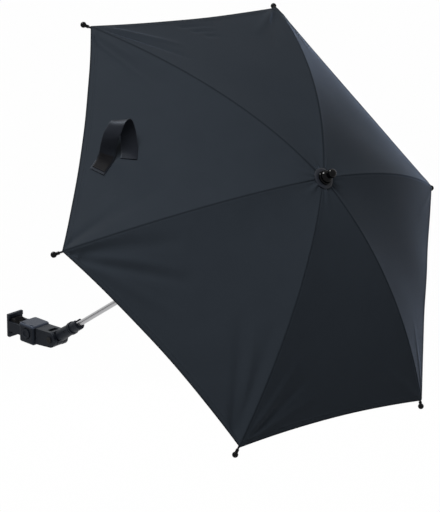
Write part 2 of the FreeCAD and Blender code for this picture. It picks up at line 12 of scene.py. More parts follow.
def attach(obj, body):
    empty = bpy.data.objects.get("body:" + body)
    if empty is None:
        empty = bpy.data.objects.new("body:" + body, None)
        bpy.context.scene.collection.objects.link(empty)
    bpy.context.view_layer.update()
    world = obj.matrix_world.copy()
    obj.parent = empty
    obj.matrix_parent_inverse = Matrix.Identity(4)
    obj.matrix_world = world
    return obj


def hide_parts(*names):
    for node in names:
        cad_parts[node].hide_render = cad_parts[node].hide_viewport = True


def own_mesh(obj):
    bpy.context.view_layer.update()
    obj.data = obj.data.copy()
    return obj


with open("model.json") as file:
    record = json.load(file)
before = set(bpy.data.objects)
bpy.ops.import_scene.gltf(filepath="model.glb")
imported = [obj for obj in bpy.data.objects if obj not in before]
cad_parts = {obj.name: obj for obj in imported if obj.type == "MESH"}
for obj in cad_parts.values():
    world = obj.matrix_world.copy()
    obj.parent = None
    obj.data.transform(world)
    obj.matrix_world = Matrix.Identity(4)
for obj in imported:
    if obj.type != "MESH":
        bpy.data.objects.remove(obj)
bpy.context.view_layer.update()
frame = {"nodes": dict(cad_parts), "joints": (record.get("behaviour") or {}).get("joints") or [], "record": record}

bl_info = {
    "name": "Pram parasol",
    "version": (1, 0, 0),
    "blender": (4, 5, 0),
    "location": "View3D > Sidebar > Parasol",
    "description": "Cloth, strap, finishes and studio for a clip-on pram parasol",
    "category": "Object",
}

# Bluish tint of what dark plastic and webbing mirror
SKY_TINT = (0.66, 0.80, 1.0, 1.0)

# Places read from the frame: the elbow, the arm's three directions and the ribs' fold axes
JOINTS = {joint["name"]: joint for joint in frame["joints"]}
RIB_COUNT = sum(name.startswith("rib_fold_") for name in JOINTS)
RIB_NUMBERS = range(1, RIB_COUNT + 1)
RIB_STEP = 2 * math.pi / RIB_COUNT
ELBOW = np.array(JOINTS["elbow_tilt"]["pos_m"])
ARM_UP = -np.array(JOINTS["runner_slide"]["axis"])
ARM_SIDE = np.array((0.0, 1.0, 0.0))
ARM_OUT = np.cross(ARM_SIDE, ARM_UP)
ARM_FRAME = np.stack((ARM_OUT, ARM_SIDE, ARM_UP))
ARM_RISE = math.asin(ARM_UP[2])

# Creases in the cloth: start and end as turns round the crown in ribs and shares of the way from
# crown to hem, then half width and height in metres. Turn 0 is rib 1, and a gore lies between whole turns.
CREASES = (
    (4.02, 0.98, 4.17, 0.66, 0.0100, -0.0026),
    (4.06, 0.97, 4.40, 0.74, 0.0065, -0.0024),
    (4.04, 0.97, 4.33, 0.72, 0.0055, 0.0012),
    (4.10, 0.97, 4.50, 0.86, 0.0060, 0.0010),
    (3.98, 0.99, 3.80, 0.78, 0.0045, -0.0007),
    (3.98, 0.99, 3.72, 0.62, 0.0060, -0.0006),
    (2.97, 0.98, 2.72, 0.82, 0.0050, 0.0020),
    (2.97, 0.98, 2.80, 0.72, 0.0055, -0.0018),
    (3.04, 0.98, 3.18, 0.74, 0.0065, -0.0024),
    (3.03, 0.98, 3.09, 0.72, 0.0060, 0.0012),
    (2.04, 0.98, 2.24, 0.84, 0.0050, 0.0022),
    (2.03, 0.98, 2.17, 0.74, 0.0060, -0.0022),
    (1.98, 0.99, 1.84, 0.82, 0.0045, 0.0008),
    (4.97, 0.98, 4.90, 0.60, 0.0100, -0.0024),
    (4.95, 0.97, 4.68, 0.68, 0.0080, -0.0024),
    (4.96, 0.97, 4.78, 0.66, 0.0060, 0.0012),
    (5.03, 0.97, 5.20, 0.72, 0.0060, 0.0014),
    (5.04, 0.97, 5.31, 0.80, 0.0050, -0.0014),
    (5.05, 0.98, 5.42, 0.88, 0.0045, 0.0008),
    (0.02, 0.99, 0.20, 0.82, 0.0045, 0.0008),
    (-0.02, 0.99, -0.20, 0.84, 0.0050, 0.0009),
    (1.02, 0.99, 1.18, 0.84, 0.0045, 0.0006),
    (0.98, 0.99, 0.80, 0.82, 0.0045, 0.0006),
    (2.60, 0.95, 2.42, 0.94, 0.0032, -0.0009),
    (2.56, 0.91, 2.44, 0.90, 0.0032, -0.0009),
    (2.52, 0.87, 2.44, 0.86, 0.0032, -0.0008),
)

# Lamps: direction from the centre to the right, up and towards the camera, side in metres, power in watts,
# and whether the lamp is there for plain light or only to be mirrored in glossy things
LAMPS = {
    "front": (-0.18, 0.64, 1.0, 1.0, 50.0, "plain"),
    "right_front_high": (1.0, 0.7, 0.8, 1.6, 4.0, "plain"),
    "right_far_back": (0.8, 0.5, -1.4, 1.6, 10.0, "plain"),
    "left_high_back": (-0.8, 1.0, -0.4, 1.6, 1.5, "plain"),
    "behind": (-0.1, 0.2, -1.0, 1.6, 14.0, "plain"),
    "softbox": (-0.5, 0.85, 0.10, 0.8, 92.0, "mirrored"),
}


def metres(name, note, value):
    """Property that holds a length."""
    return FloatProperty(name=name, description=note, default=value, unit="LENGTH")


def share_of(name, note, value):
    """Property that holds a share."""
    return FloatProperty(name=name, description=note, default=value, subtype="FACTOR")


def degrees(name, note, value):
    """Property that holds an angle, given here in degrees."""
    return FloatProperty(name=name, description=note, default=math.radians(value), subtype="ANGLE")


def plain(name, note, value):
    """Property that holds a number without a unit."""
    return FloatProperty(name=name, description=note, default=value)


def whole(name, note, value):
    """Property that holds a whole number."""
    return IntProperty(name=name, description=note, default=value)


def colour_of(name, note, *value):
    """Property that holds a colour in linear light."""
    return FloatVectorProperty(name=name, description=note, default=value, subtype="COLOR")


class CanopySizes(PropertyGroup):
    """Sizes of the cloth over the six ribs."""

    corner_radius: metres("Corner radius", "From the shaft to a corner of the cloth", 0.338)
    crown_height: metres("Crown height", "From the elbow along the shaft to the top of the cloth", 0.634)
    dome_rise: metres("Dome rise", "From the cloth's corners to its top", 0.137)
    dome_power: plain("Dome power", "Power of the radius that the ribs fall with", 1.85)
    first_rib_turn: degrees("First rib", "Turn of the first rib round the shaft", 24.0)
    hole_radius: metres("Crown hole", "Radius of the hole under the washer", 0.007)
    sag: metres("Sag", "How far a gore's middle hangs below its ribs", 0.005)
    hem_pull: share_of("Hem pull", "How far the hem is drawn in between corners, as a share", 0.022)
    thickness: metres("Cloth thickness", "One layer of cloth", 0.0005)
    seam_round: metres("Ridge rounding", "Rounding of the cloth over a rib", 0.0016)
    seam_depth: metres("Seam depth", "Depth of the sewn groove along a rib", 0.0005)
    seam_width: metres("Seam half width", "Half width of the sewn groove", 0.0009)
    seam_allowance: metres("Seam allowance", "Turned-in cloth on each side of a seam", 0.007)
    hem_width: metres("Hem width", "Width of the turned and sewn hem", 0.008)
    stitch_inset: metres("Stitch inset", "From the hem's edge to its row of stitches", 0.0062)
    stitch_pitch: metres("Stitch pitch", "From one stitch to the next", 0.0032)
    stitch_length: metres("Stitch length", "Length of one stitch", 0.0025)
    thread: metres("Thread", "Radius of the sewing thread", 0.00022)
    pucker: metres("Crown pucker", "Height of the small folds round the washer", 0.0006)
    slack: metres("Slack", "Height of the long waves in slack cloth", 0.00045)
    crease_clear: metres("Crease clearance", "From a rib or the hem to where creases are about full", 0.007)
    crease: plain("Crease depth", "Factor on the heights of the listed creases", 2.4)
    fold_keep: share_of("Folded share", "Share of its width that a rib's cloth keeps when folded", 0.30)
    steps_long: whole("Steps along", "Grid steps from crown to hem", 132)
    steps_wide: whole("Steps across", "Grid steps from a rib to the middle of a gore", 44)


class StrapSizes(PropertyGroup):
    """Sizes of the closing strap, its loop and its hook patch."""

    rib: whole("Rib", "Number of the rib that the strap folds with", 5)
    width: metres("Width", "Width of the webbing", 0.021)
    thickness: metres("Thickness", "Thickness of the webbing", 0.001)
    lift: metres("Lift", "Room between the webbing and the cloth", 0.0007)
    foot_radius: share_of(
        "Foot along the rib", "Share of the corner radius at which the strap is sewn on", 0.653)
    foot_side: share_of("Foot beside the rib", "Share of the corner radius from the rib to the foot", 0.27)
    reach: metres("Reach", "Reach of the loop along the cloth", 0.040)
    rise: metres("Rise", "Height of the loop over the cloth", 0.044)
    sidestep: metres("Sidestep", "How far the strap's end lies beside its foot", 0.031)
    droop: share_of("Droop", "Fall of the loop's outer edge at full height, as a share", 0.5)
    patch_inset: metres("Patch inset", "Webbing left bare on each side of the hook patch", 0.0015)
    patch_thickness: metres("Patch thickness", "Ground of the hook patch", 0.0007)
    patch_from: share_of("Patch start", "Share of the strap's length at which the patch starts", 0.81)
    patch_to: share_of("Patch end", "Share of the strap's length at which the patch ends", 0.97)
    hook_pitch: metres("Hook pitch", "From one hook to the next", 0.0016)
    hook_height: metres("Hook height", "Height of a hook", 0.0011)


class CapSizes(PropertyGroup):
    """Sizes of the turned cap on top, and of the washer that it sits on."""

    washer_thickness: metres("Washer thickness", "Thickness of the washer", 0.0018)
    washer_gap: metres("Washer gap", "Room between cloth and washer", 0.0003)
    skirt_radius: metres("Skirt radius", "Radius of the cap's foot", 0.0095)
    skirt_height: metres("Skirt height", "Height of the straight foot", 0.003)
    bead: metres("Bead", "Rounding of the foot's two edges", 0.0006)
    neck_radius: metres("Neck radius", "Radius under the ball", 0.004)
    neck_height: metres("Neck height", "Height at which the neck starts", 0.011)
    ball_radius: metres("Ball radius", "Radius of the ball", 0.0062)
    ball_height: metres("Ball height", "Height of the ball's centre", 0.0158)
    stem_radius: metres("Stem radius", "Radius of the stem in the shaft", 0.0028)
    stem_length: metres("Stem length", "From the cloth's top down to the stem's end", 0.016)


class FinishColours(PropertyGroup):
    """Colours of the finishes, in linear light."""

    cloth: colour_of("Cloth", "Dyed polyester cloth", 0.0245, 0.0302, 0.0380)
    strap: colour_of("Strap", "Satin webbing", 0.0070, 0.0077, 0.0100)
    hooks: colour_of("Hook patch", "Hook tape", 0.0075, 0.0075, 0.0085)
    plastic: colour_of("Plastic", "Grained black mouldings", 0.0060, 0.0070, 0.0100)
    cover: colour_of("Cover", "Bluish grey cover of the clamp", 0.034, 0.040, 0.058)
    gloss: colour_of("Gloss black", "Cap and rib tips", 0.0015, 0.0015, 0.0018)
    washer: colour_of("Washer", "Dull washer under the cap", 0.011, 0.013, 0.018)
    rubber: colour_of("Rubber", "Clamp pads", 0.011, 0.011, 0.012)
    nylon: colour_of("Nylon", "Friction washers", 0.52, 0.51, 0.47)
    steel: colour_of("Steel", "Pins, bolt and springs", 0.55, 0.55, 0.56)
    black_steel: colour_of("Black steel", "Lacquered ribs and stretchers", 0.010, 0.010, 0.011)
    aluminium: colour_of("Aluminium", "Drawn shaft", 0.42, 0.42, 0.43)


class StudioSettings(PropertyGroup):
    """Camera, floor and lamps."""

    azimuth: degrees("Azimuth", "Turn of the camera round the parasol", 44.4119)
    elevation: degrees("Elevation", "Camera's angle above the horizon", 18.5463)
    centre: FloatVectorProperty(
        name="Centre", description="Point that the camera's distance is measured from",
        default=(0.380, 0.0, 0.260), subtype="TRANSLATION", unit="LENGTH")
    distance: metres("Distance", "From the centre to the camera", 3.4058)
    aim_right: metres("Aim right", "Aim point right of the centre", 0.02265)
    aim_down: metres("Aim down", "Aim point below the centre", 0.05098)
    lens: plain("Lens", "Focal length on a 36 mm long side, in millimetres", 175.9)
    roll: degrees("Roll", "Turn of the camera about its own line of sight", 0.3949)
    floor_drop: metres("Floor drop", "From the clamp down to the floor", 0.90)
    floor_radius: metres("Floor radius", "Radius of the floor", 30.0)
    floor_tone: colour_of("Floor", "Paint of the floor", 0.88, 0.88, 0.88)
    floor_white: share_of("Floor white", "Share of plain white in the floor as it is seen", 0.99)
    flag_height: metres("Flag height", "Place along the shaft that the dark card faces", 0.11)
    flag_distance: metres("Flag distance", "From the shaft to the dark card", 1.2)
    flag_side: metres("Flag side", "Side of the dark card", 0.7)
    flag_glow: plain("Flag glow", "Strength of the dark card in reflections", 0.30)
    lamp_distance: metres("Lamp distance", "From the centre to each lamp", 2.4)
    room_light: plain("Room light", "Strength of the even light from all round", 0.08)


# Mesh building

def unit(vectors):
    """Vectors drawn to length 1."""
    return vectors / np.linalg.norm(vectors, axis=-1, keepdims=True)


def way_along(points):
    """Way from the first point of a line to each of its points."""
    return np.concatenate(((0,), np.cumsum(np.linalg.norm(np.diff(points, axis=0), axis=-1))))


def grid_quads(rows, columns, wrap=False):
    """Quads of a grid whose points are numbered row by row; wrap joins the last column to the first."""
    cells = columns if wrap else columns - 1
    row, column = np.meshgrid(np.arange(rows - 1), np.arange(cells), indexing="ij")
    after = (column + 1) % columns
    low, high = row * columns, (row + 1) * columns
    return np.stack((low + column, high + column, high + after, low + after), -1).reshape(-1, 4)


def make_piece(name, points, faces, flat_faces=0):
    """Mesh object from an array of points and a list of faces, smooth but for the last flat_faces ones."""
    mesh = bpy.data.meshes.new(name)
    mesh.from_pydata(np.asarray(points, float).reshape(-1, 3).tolist(), [], faces)
    smooth = np.ones(len(faces), bool)
    smooth[len(faces) - flat_faces:] = False
    mesh.polygons.foreach_set("use_smooth", smooth)
    mesh.update()
    if flat_faces:
        edges = np.empty(len(mesh.loops), np.int32)
        mesh.loops.foreach_get("edge_index", edges)
        sharp = np.zeros(len(mesh.edges), bool)
        sharp[edges[mesh.polygons[len(faces) - flat_faces].loop_start:]] = True
        mesh.edges.foreach_set("use_edge_sharp", sharp)
    piece = bpy.data.objects.new(name, mesh)
    bpy.context.scene.collection.objects.link(piece)
    return piece


def set_point_values(piece, name, values):
    """Float attribute on the piece's points, for its material to read."""
    attribute = piece.data.attributes.new(name, "FLOAT", "POINT")
    attribute.data.foreach_set("value", np.asarray(values, np.float32).ravel())


def set_uv(piece, name, corner_uv):
    """UV map in metres from an array with one pair for each face corner."""
    layer = piece.data.uv_layers.new(name=name)
    layer.data.foreach_set("uv", np.asarray(corner_uv, np.float32).ravel())


def corner_points(piece):
    """Point number of every face corner."""
    numbers = np.empty(len(piece.data.loops), np.int32)
    piece.data.loops.foreach_get("vertex_index", numbers)
    return numbers


MERGE_DISTANCE = 1e-7


def merge_poles(piece):
    """Joins the points that a turned profile has on its axis, and points all faces outwards."""
    work = bmesh.new()
    work.from_mesh(piece.data)
    bmesh.ops.remove_doubles(work, verts=work.verts, dist=MERGE_DISTANCE)
    bmesh.ops.recalc_face_normals(work, faces=work.faces)
    work.to_mesh(piece.data)
    work.free()


def turned(name, radii, heights, steps):
    """Profile of radii and heights over the elbow, turned once round the arm."""
    turn = np.linspace(0, 2 * math.pi, steps, endpoint=False)
    ring = np.stack((np.cos(turn), np.sin(turn), np.zeros(steps)), -1)
    local = radii[:, None, None] * ring + heights[:, None, None] * np.array((0.0, 0.0, 1.0))
    piece = make_piece(name, to_row_frame(local), grid_quads(len(radii), steps, wrap=True).tolist())
    merge_poles(piece)
    return piece


def swept_tubes(name, paths, sideways, radii, sides):
    """Round tubes, one for each path: circles square to the path, drawn to their radius at each step.

    paths is copies by steps by 3, sideways one direction across each path, radii one value for each step.
    """
    copies, steps, _ = paths.shape
    ahead = unit(np.gradient(paths, axis=1))
    across = unit(sideways[:, None, :] - ahead * (ahead * sideways[:, None, :]).sum(-1, keepdims=True))
    over = np.cross(ahead, across)
    turn = np.linspace(0, 2 * math.pi, sides, endpoint=False)
    ring = across[:, :, None] * np.cos(turn)[:, None] + over[:, :, None] * np.sin(turn)[:, None]
    points = paths[:, :, None] + ring * radii[None, :, None, None]
    size = steps * sides
    starts = np.arange(copies) * size
    quads = (grid_quads(steps, sides, wrap=True)[None] + starts[:, None, None]).reshape(-1, 4)
    first = np.arange(sides)[None] + starts[:, None]
    caps = first.tolist() + (first[:, ::-1] + size - sides).tolist()
    piece = make_piece(name, points, quads.tolist() + caps)
    merge_poles(piece)
    return piece


# Canopy cloth

def to_row_frame(points):
    """Points given across, beside and along the arm, moved to the part's own frame."""
    return ELBOW + points @ ARM_FRAME


def crest(sizes, radius):
    """Height of a rib over the elbow: the dome's rise times a power of the radius' share of the corner."""
    return sizes.crown_height - sizes.dome_rise * (radius / sizes.corner_radius) ** sizes.dome_power


def crest_slope(sizes, radius):
    """Fall of the rib at a radius."""
    share = radius / sizes.corner_radius
    return -sizes.dome_rise * sizes.dome_power / sizes.corner_radius * share ** (sizes.dome_power - 1)


def gore_share(turn):
    """Whole ribs passed at a turn, the share of the way across the gore, and 0 at ribs to 1 midway."""
    rib = np.floor(turn)
    share = turn - rib
    return rib, share, 4 * share * (1 - share)


def chord_radius(sizes, long, across):
    """Rib radius at a share of the way from the crown hole to the drawn-in hem."""
    hem = sizes.corner_radius * (1 - sizes.hem_pull * across)
    return sizes.hole_radius + (hem - sizes.hole_radius) * long


def chord_plan(sizes, long, turn):
    """Plan point on the straight chord between two ribs' points of one radius."""
    rib, share, across = gore_share(turn)
    radius = chord_radius(sizes, long, across)
    start = sizes.first_rib_turn + rib * RIB_STEP
    x = radius * ((1 - share) * np.cos(start) + share * np.cos(start + RIB_STEP))
    y = radius * ((1 - share) * np.sin(start) + share * np.sin(start + RIB_STEP))
    return np.stack((x, y), -1), radius


# Power of the way along a crease that its height fades with
CREASE_FADE = 0.7


def crease_height(sizes, plan):
    """Sum of the creases: each a bell across its line, fading from its start to its end."""
    total = np.zeros(plan.shape[:-1])
    for start_turn, start_long, end_turn, end_long, width, height in CREASES:
        start = chord_plan(sizes, np.array(start_long), np.array(start_turn))[0]
        line = chord_plan(sizes, np.array(end_long), np.array(end_turn))[0] - start
        share = np.clip(((plan - start) @ line) / (line @ line), 0, 1)
        off = plan - start - share[..., None] * line
        bell = np.exp(-(off ** 2).sum(-1) / width ** 2)
        total += height * bell * (1 - share) ** CREASE_FADE
    return sizes.crease * total


# Folds round the washer: number, share of the height and phase, then their middle and reach in metres
PUCKER_WAVES = ((7, 1.0, 0.6), (12, 0.8, 2.0), (19, 0.6, 1.1))
PUCKER_MIDDLE, PUCKER_REACH = 0.014, 0.022


def crown_pucker(sizes, radius, turn):
    """Small radial folds round the washer that die away within a few centimetres."""
    wave = sum(share * np.sin(folds * turn * RIB_STEP + phase) for folds, share, phase in PUCKER_WAVES)
    return sizes.pucker * wave * np.exp(-((radius - PUCKER_MIDDLE) / PUCKER_REACH) ** 2)


# Waves of slack cloth: radians for each metre along the plan's two directions, phase and share of height
SLACK_WAVES = ((31, 17, 0.4, 1.0), (-23, 41, 1.9, 1.0), (57, -29, 0.0, 0.7))


def cloth_swell(sizes, plan, across):
    """Broad slack of the cloth: a few long waves that vanish at the ribs."""
    wave = sum(share * np.sin(a * plan[..., 0] + b * plan[..., 1] + phase)
               for a, b, phase, share in SLACK_WAVES)
    return sizes.slack * wave * across


# Cloth puffed up beside a seam: share of the seam's depth, place and spread in seam half widths
PUFF_SHARE, PUFF_PLACE, PUFF_SPREAD = 0.25, 3.0, 1.6


def seam_profile(sizes, radius, beside):
    """Rounded ridge over the rib with the sewn groove along it and the cloth puffed beside it."""
    rounding = np.sqrt(beside ** 2 + sizes.seam_round ** 2) - beside
    ridge = crest_slope(sizes, radius) * math.tan(RIB_STEP / 2) * rounding
    widths = beside / sizes.seam_width
    groove = -np.exp(-widths ** 2)
    puff = PUFF_SHARE * np.exp(-((widths - PUFF_PLACE) / PUFF_SPREAD) ** 2)
    return ridge + sizes.seam_depth * (groove + puff)


def fade(value, limit, width):
    """1 well below a limit and 0 well above it, with a smooth step of a given width between."""
    return 0.5 - 0.5 * np.tanh((value - limit) / (2 * width))


# Turned cloth, in metres: softness of its edges outside and inside, half width of the dent along the stitches
HEM_SOFT, LINING_SOFT, STITCH_DENT = 0.0004, 0.0003, 0.0007
# Turned cloth, in cloth thicknesses: step of the hem, depth of the dent, extra thickness on the lining side
HEM_STEP, DENT_DEPTH, TURNED_LAYERS = 0.8, 0.5, 0.7


def hem_profile(sizes, inset):
    """Step of the turned hem, with a dent along its stitches."""
    step = fade(inset, sizes.hem_width, HEM_SOFT)
    dent = np.exp(-((inset - sizes.stitch_inset) / STITCH_DENT) ** 2)
    return sizes.thickness * (HEM_STEP * step - DENT_DEPTH * dent)


def canopy_surface(sizes, long, turn):
    """Outer face of the cloth in the arm's frame, from a share of the way to the hem and a turn in ribs.

    The cloth spans straight chords between neighbouring ribs, falls with the ribs' crest and sags midway.
    Seam, hem, creases, puckers and slack are added to its height. Creases keep clear of ribs and hem.
    """
    share, across = gore_share(turn)[1:]
    plan, radius = chord_plan(sizes, long, turn)
    beside = radius * np.minimum(share, 1 - share) * math.sin(RIB_STEP)
    inset = (1 - long) * (chord_radius(sizes, 1.0, across) - sizes.hole_radius)
    height = crest(sizes, radius) - sizes.sag * np.sin(math.pi * radius / sizes.corner_radius) * across
    height = height + seam_profile(sizes, radius, beside) + hem_profile(sizes, inset)
    free = 1 - np.exp(-(np.minimum(beside, inset) / sizes.crease_clear) ** 2)
    height = height + crease_height(sizes, plan) * free + crown_pucker(sizes, radius, turn)
    height = height + cloth_swell(sizes, plan, across)
    return np.concatenate((plan, height[..., None]), -1), beside, inset


# Step for normals, and how far inside crown and hem they are taken, both as shares of the way
NORMAL_STEP, RIM_CLEAR = 2e-4, 3e-4


def surface_normals(sizes, long, turn):
    """Upward unit normals of the cloth, from the cross product of its two small steps."""
    step = NORMAL_STEP
    along = canopy_surface(sizes, long + step, turn)[0] - canopy_surface(sizes, long - step, turn)[0]
    round_it = canopy_surface(sizes, long, turn + step)[0] - canopy_surface(sizes, long, turn - step)[0]
    return unit(np.cross(along, round_it))


# Powers that crowd the cloth's grid towards crown and seam
CROWN_CROWD, SEAM_CROWD = 1.15, 1.7
# Extra rows at the hem: 0.4 to 10 mm in from it, as shares of a way of about 310 mm
HEM_ROWS = np.linspace(0.4, 10.0, 16) / 310


def canopy_grid(sizes, rib_number):
    """Shares and turns of one rib's cloth: fine at the crown, the hem and the seam."""
    long = np.linspace(0, 1, sizes.steps_long + 1) ** CROWN_CROWD
    long = np.sort(np.concatenate((long, 1 - HEM_ROWS)))
    half = np.linspace(0, 1, sizes.steps_wide + 1) ** SEAM_CROWD / 2
    turn = rib_number - 1 + np.concatenate((-half[:0:-1], half))
    return np.meshgrid(long, turn, indexing="ij")


# Weave drawn out along a gore, since the cloth is longer than its plan
WEAVE_STRETCH = 1.08


def gore_uv(sizes, long, turn, gore):
    """Weave coordinates in metres: along a gore's middle line and across it."""
    plan = chord_plan(sizes, long, turn)[0]
    middle = sizes.first_rib_turn + (gore + 0.5) * RIB_STEP
    along = plan[..., 0] * np.cos(middle) + plan[..., 1] * np.sin(middle)
    across = -plan[..., 0] * np.sin(middle) + plan[..., 1] * np.cos(middle)
    return np.stack((along * WEAVE_STRETCH, across), -1)


# Half widths of the lines of painted shade that the cloth's material draws along seams and along the hem's edge,
# in metres
SEAM_SHADE_LINE, HEM_SHADE_LINE = 0.0011, 0.0017


def canopy_cloth(sizes, number):
    """Closed sheet over one rib, from gore middle to gore middle: outer face, lining face and edges."""
    long, turn = canopy_grid(sizes, number)
    rows, columns = long.shape
    outer, beside, inset = canopy_surface(sizes, long, turn)
    normal = surface_normals(sizes, np.clip(long, RIM_CLEAR, 1 - RIM_CLEAR), turn)
    sewn = fade(beside, sizes.seam_allowance, LINING_SOFT)
    turned_in = fade(inset, sizes.hem_width, LINING_SOFT)
    layers = 1 + TURNED_LAYERS * np.maximum(sewn, turned_in)
    lining = outer - normal * (sizes.thickness * layers)[..., None]
    count = rows * columns
    ring = np.arange(count).reshape(rows, columns)
    borders = ((ring[-1, :-1], ring[-1, 1:]), (ring[0, 1:], ring[0, :-1]),
               (ring[:-1, 0], ring[1:, 0]), (ring[1:, -1], ring[:-1, -1]))
    edges = [np.stack((a, a + count, b + count, b), -1) for a, b in borders]
    faces = grid_quads(rows, columns)
    quads = np.concatenate((faces, faces[:, ::-1] + count, *edges))
    points = to_row_frame(np.concatenate((outer.reshape(-1, 3), lining.reshape(-1, 3))))
    piece = make_piece(f"canopy_cloth_{number}", points, quads.tolist(), 2 * (rows - 1))
    # Masks for painted shade: a dark line in each seam groove and along the rolled edge of the hem
    set_point_values(piece, "seam", np.tile(np.exp(-(beside / SEAM_SHADE_LINE) ** 2).ravel(), 2))
    set_point_values(piece, "edge", np.tile(np.exp(-(inset / HEM_SHADE_LINE) ** 2).ravel(), 2))
    set_point_values(piece, "inside", np.repeat((0.0, 1.0), count))
    numbers = corner_points(piece) % count
    gore = np.floor(np.repeat(turn.ravel()[quads % count].mean(1), 4))
    set_uv(piece, "weave", gore_uv(sizes, long.ravel()[numbers], turn.ravel()[numbers], gore))
    return piece


# Radius of a stitch at five places along it, as shares of the thread's, and the lift of its ends, as a share
STITCH_TAPER = np.array((0.35, 0.9, 1.0, 0.9, 0.35))
END_LIFT = 0.1
STITCH_SIDES, HEM_SAMPLES = 6, 4001


def hem_stitches(sizes, number):
    """Row of short arched threads along the hem, laid on the cloth."""
    turns = number - 1 + np.linspace(-0.5, 0.5, HEM_SAMPLES)
    span = chord_radius(sizes, 1.0, gore_share(turns)[2]) - sizes.hole_radius
    longs = 1 - sizes.stitch_inset / span
    way = way_along(chord_plan(sizes, longs, turns)[0])
    starts = np.arange(sizes.stitch_pitch / 2, way[-1] - sizes.stitch_length, sizes.stitch_pitch)
    share = np.linspace(0, 1, len(STITCH_TAPER))
    places = starts[:, None] + share * sizes.stitch_length
    turn = np.interp(places, way, turns)
    long = np.interp(places, way, longs)
    normal = surface_normals(sizes, long, turn)
    rise = sizes.thread * ((1 - END_LIFT) * np.sin(math.pi * share) + END_LIFT)
    paths = to_row_frame(canopy_surface(sizes, long, turn)[0] + normal * rise[:, None])
    sideways = normal[:, 2] @ ARM_FRAME
    return swept_tubes(f"hem_stitches_{number}", paths, sideways, sizes.thread * STITCH_TAPER, STITCH_SIDES)


def fold_with_rib(piece, number):
    """The piece rides on its rib, with a mesh of its own."""
    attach(piece, f"rib_{number}")
    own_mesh(piece)


# Closing strap

# Knots of the strap's course: shares of its reach along the hem, its sidestep and its rise
RUN_SHARES = (0.04, 0.23, 0.46, 0.68, 0.82, 0.89, 0.88, 0.74,
              0.55, 0.38, 0.27, 0.18, 0.06, -0.1, -0.3, -0.52)
OUT_SHARES = (0, 0, 0.02, 0.06, 0.11, 0.17, 0.25, 0.36,
              0.47, 0.56, 0.62, 0.67, 0.72, 0.79, 0.89, 1)
UP_SHARES = (0, 0, 0.07, 0.23, 0.44, 0.66, 0.86, 0.93, 0.86, 0.73, 0.54, 0.32, 0.12, 0.02, 0, 0)


def spline_through(knots, count):
    """Natural cubic spline through the knots by chord length, read at evenly spaced places."""
    place = way_along(knots)
    steps = np.diff(place)
    size = len(knots)
    system = np.eye(size)
    right = np.zeros_like(knots)
    rows = np.arange(1, size - 1)
    system[rows, rows - 1] = steps[:-1]
    system[rows, rows] = 2 * (steps[:-1] + steps[1:])
    system[rows, rows + 1] = steps[1:]
    right[1:-1] = 6 * np.diff(np.diff(knots, axis=0) / steps[:, None], axis=0)
    bend = np.linalg.solve(system, right)
    at = np.linspace(0, place[-1], count)
    cell = np.clip(np.searchsorted(place, at, side="right") - 1, 0, size - 2)
    width = steps[cell][:, None]
    a = (place[cell + 1] - at)[:, None] / width
    b = 1 - a
    curve = a * knots[cell] + b * knots[cell + 1]
    return curve + ((a ** 3 - a) * bend[cell] + (b ** 3 - b) * bend[cell + 1]) * width ** 2 / 6


STRAP_STEPS = 180


def strap_course(sizes, canopy):
    """Middle line of the strap over the cloth, with its width and face directions, in the part's frame.

    The course is given by its run along the hem, its way out and its height over the cloth.
    """
    shares = np.stack((RUN_SHARES, OUT_SHARES, UP_SHARES), -1)
    knots = shares * np.array((sizes.reach, sizes.sidestep, sizes.rise))
    run, out, up = spline_through(knots, STRAP_STEPS + 1).T
    half = RIB_STEP / 2
    x = canopy.corner_radius * sizes.foot_radius + out * math.cos(half) - run * math.sin(half)
    side = canopy.corner_radius * sizes.foot_side + out * math.sin(half) + run * math.cos(half)
    radius = x + side * math.tan(half)
    slope = crest_slope(canopy, radius)
    wide_share = side / (radius * math.sin(half) * math.cos(half))
    across = wide_share * (2 - wide_share)
    sag = canopy.sag * np.sin(math.pi * radius / canopy.corner_radius) * across
    normal = unit(np.stack((-slope, slope * math.tan(half), np.ones_like(x)), -1))
    up = np.maximum(up, 0)
    lifted = up + sizes.lift + sizes.thickness / 2
    middle = np.stack((x, -side, crest(canopy, radius) - sag), -1) + normal * lifted[:, None]
    outward = np.stack((np.full_like(x, math.cos(half)), np.full_like(x, -math.sin(half)),
                        slope / math.cos(half)), -1)
    outward -= normal * (sizes.droop * up / sizes.rise)[:, None]
    angle = canopy.first_rib_turn + (sizes.rib - 1) * RIB_STEP
    c, s = math.cos(angle), math.sin(angle)
    turn = np.array(((c, s, 0), (-s, c, 0), (0, 0, 1)))
    middle, outward = to_row_frame(middle @ turn), outward @ turn @ ARM_FRAME
    ahead = unit(np.gradient(middle, axis=0))
    wide = unit(outward - ahead * (outward * ahead).sum(-1, keepdims=True))
    return middle, wide, np.cross(ahead, wide)


SELVEDGE_STEPS = 7


def ribbon_section(width, thickness, steps):
    """Closed outline of a flat tape with rounded selvedges: pairs across and through the tape."""
    half, low = width / 2, thickness / 2
    round_it = np.linspace(-math.pi / 2, math.pi / 2, SELVEDGE_STEPS)
    edge = np.stack((half - low + low * np.cos(round_it), low * np.sin(round_it)), -1)
    line = np.linspace(half - low, -half + low, steps)[1:-1]
    top = np.stack((line, np.full_like(line, low)), -1)
    return np.concatenate((edge, top, -edge, -top))


def ribbon(name, middle, wide, face, section):
    """Section carried along a course, with flat ends and a UV map in metres along and across the tape."""
    points = middle[:, None] + wide[:, None] * section[:, :1] + face[:, None] * section[:, 1:]
    rows, columns = points.shape[:2]
    quads = grid_quads(rows, columns, wrap=True)
    first = np.arange(columns)
    ends = [first[::-1].tolist(), (first + (rows - 1) * columns).tolist()]
    piece = make_piece(name, points, quads[:, ::-1].tolist() + ends, 2)
    way = way_along(middle)
    numbers = corner_points(piece)
    set_uv(piece, "weave", np.stack((way[numbers // columns], section[numbers % columns, 0]), -1))
    return piece, float(way[-1])


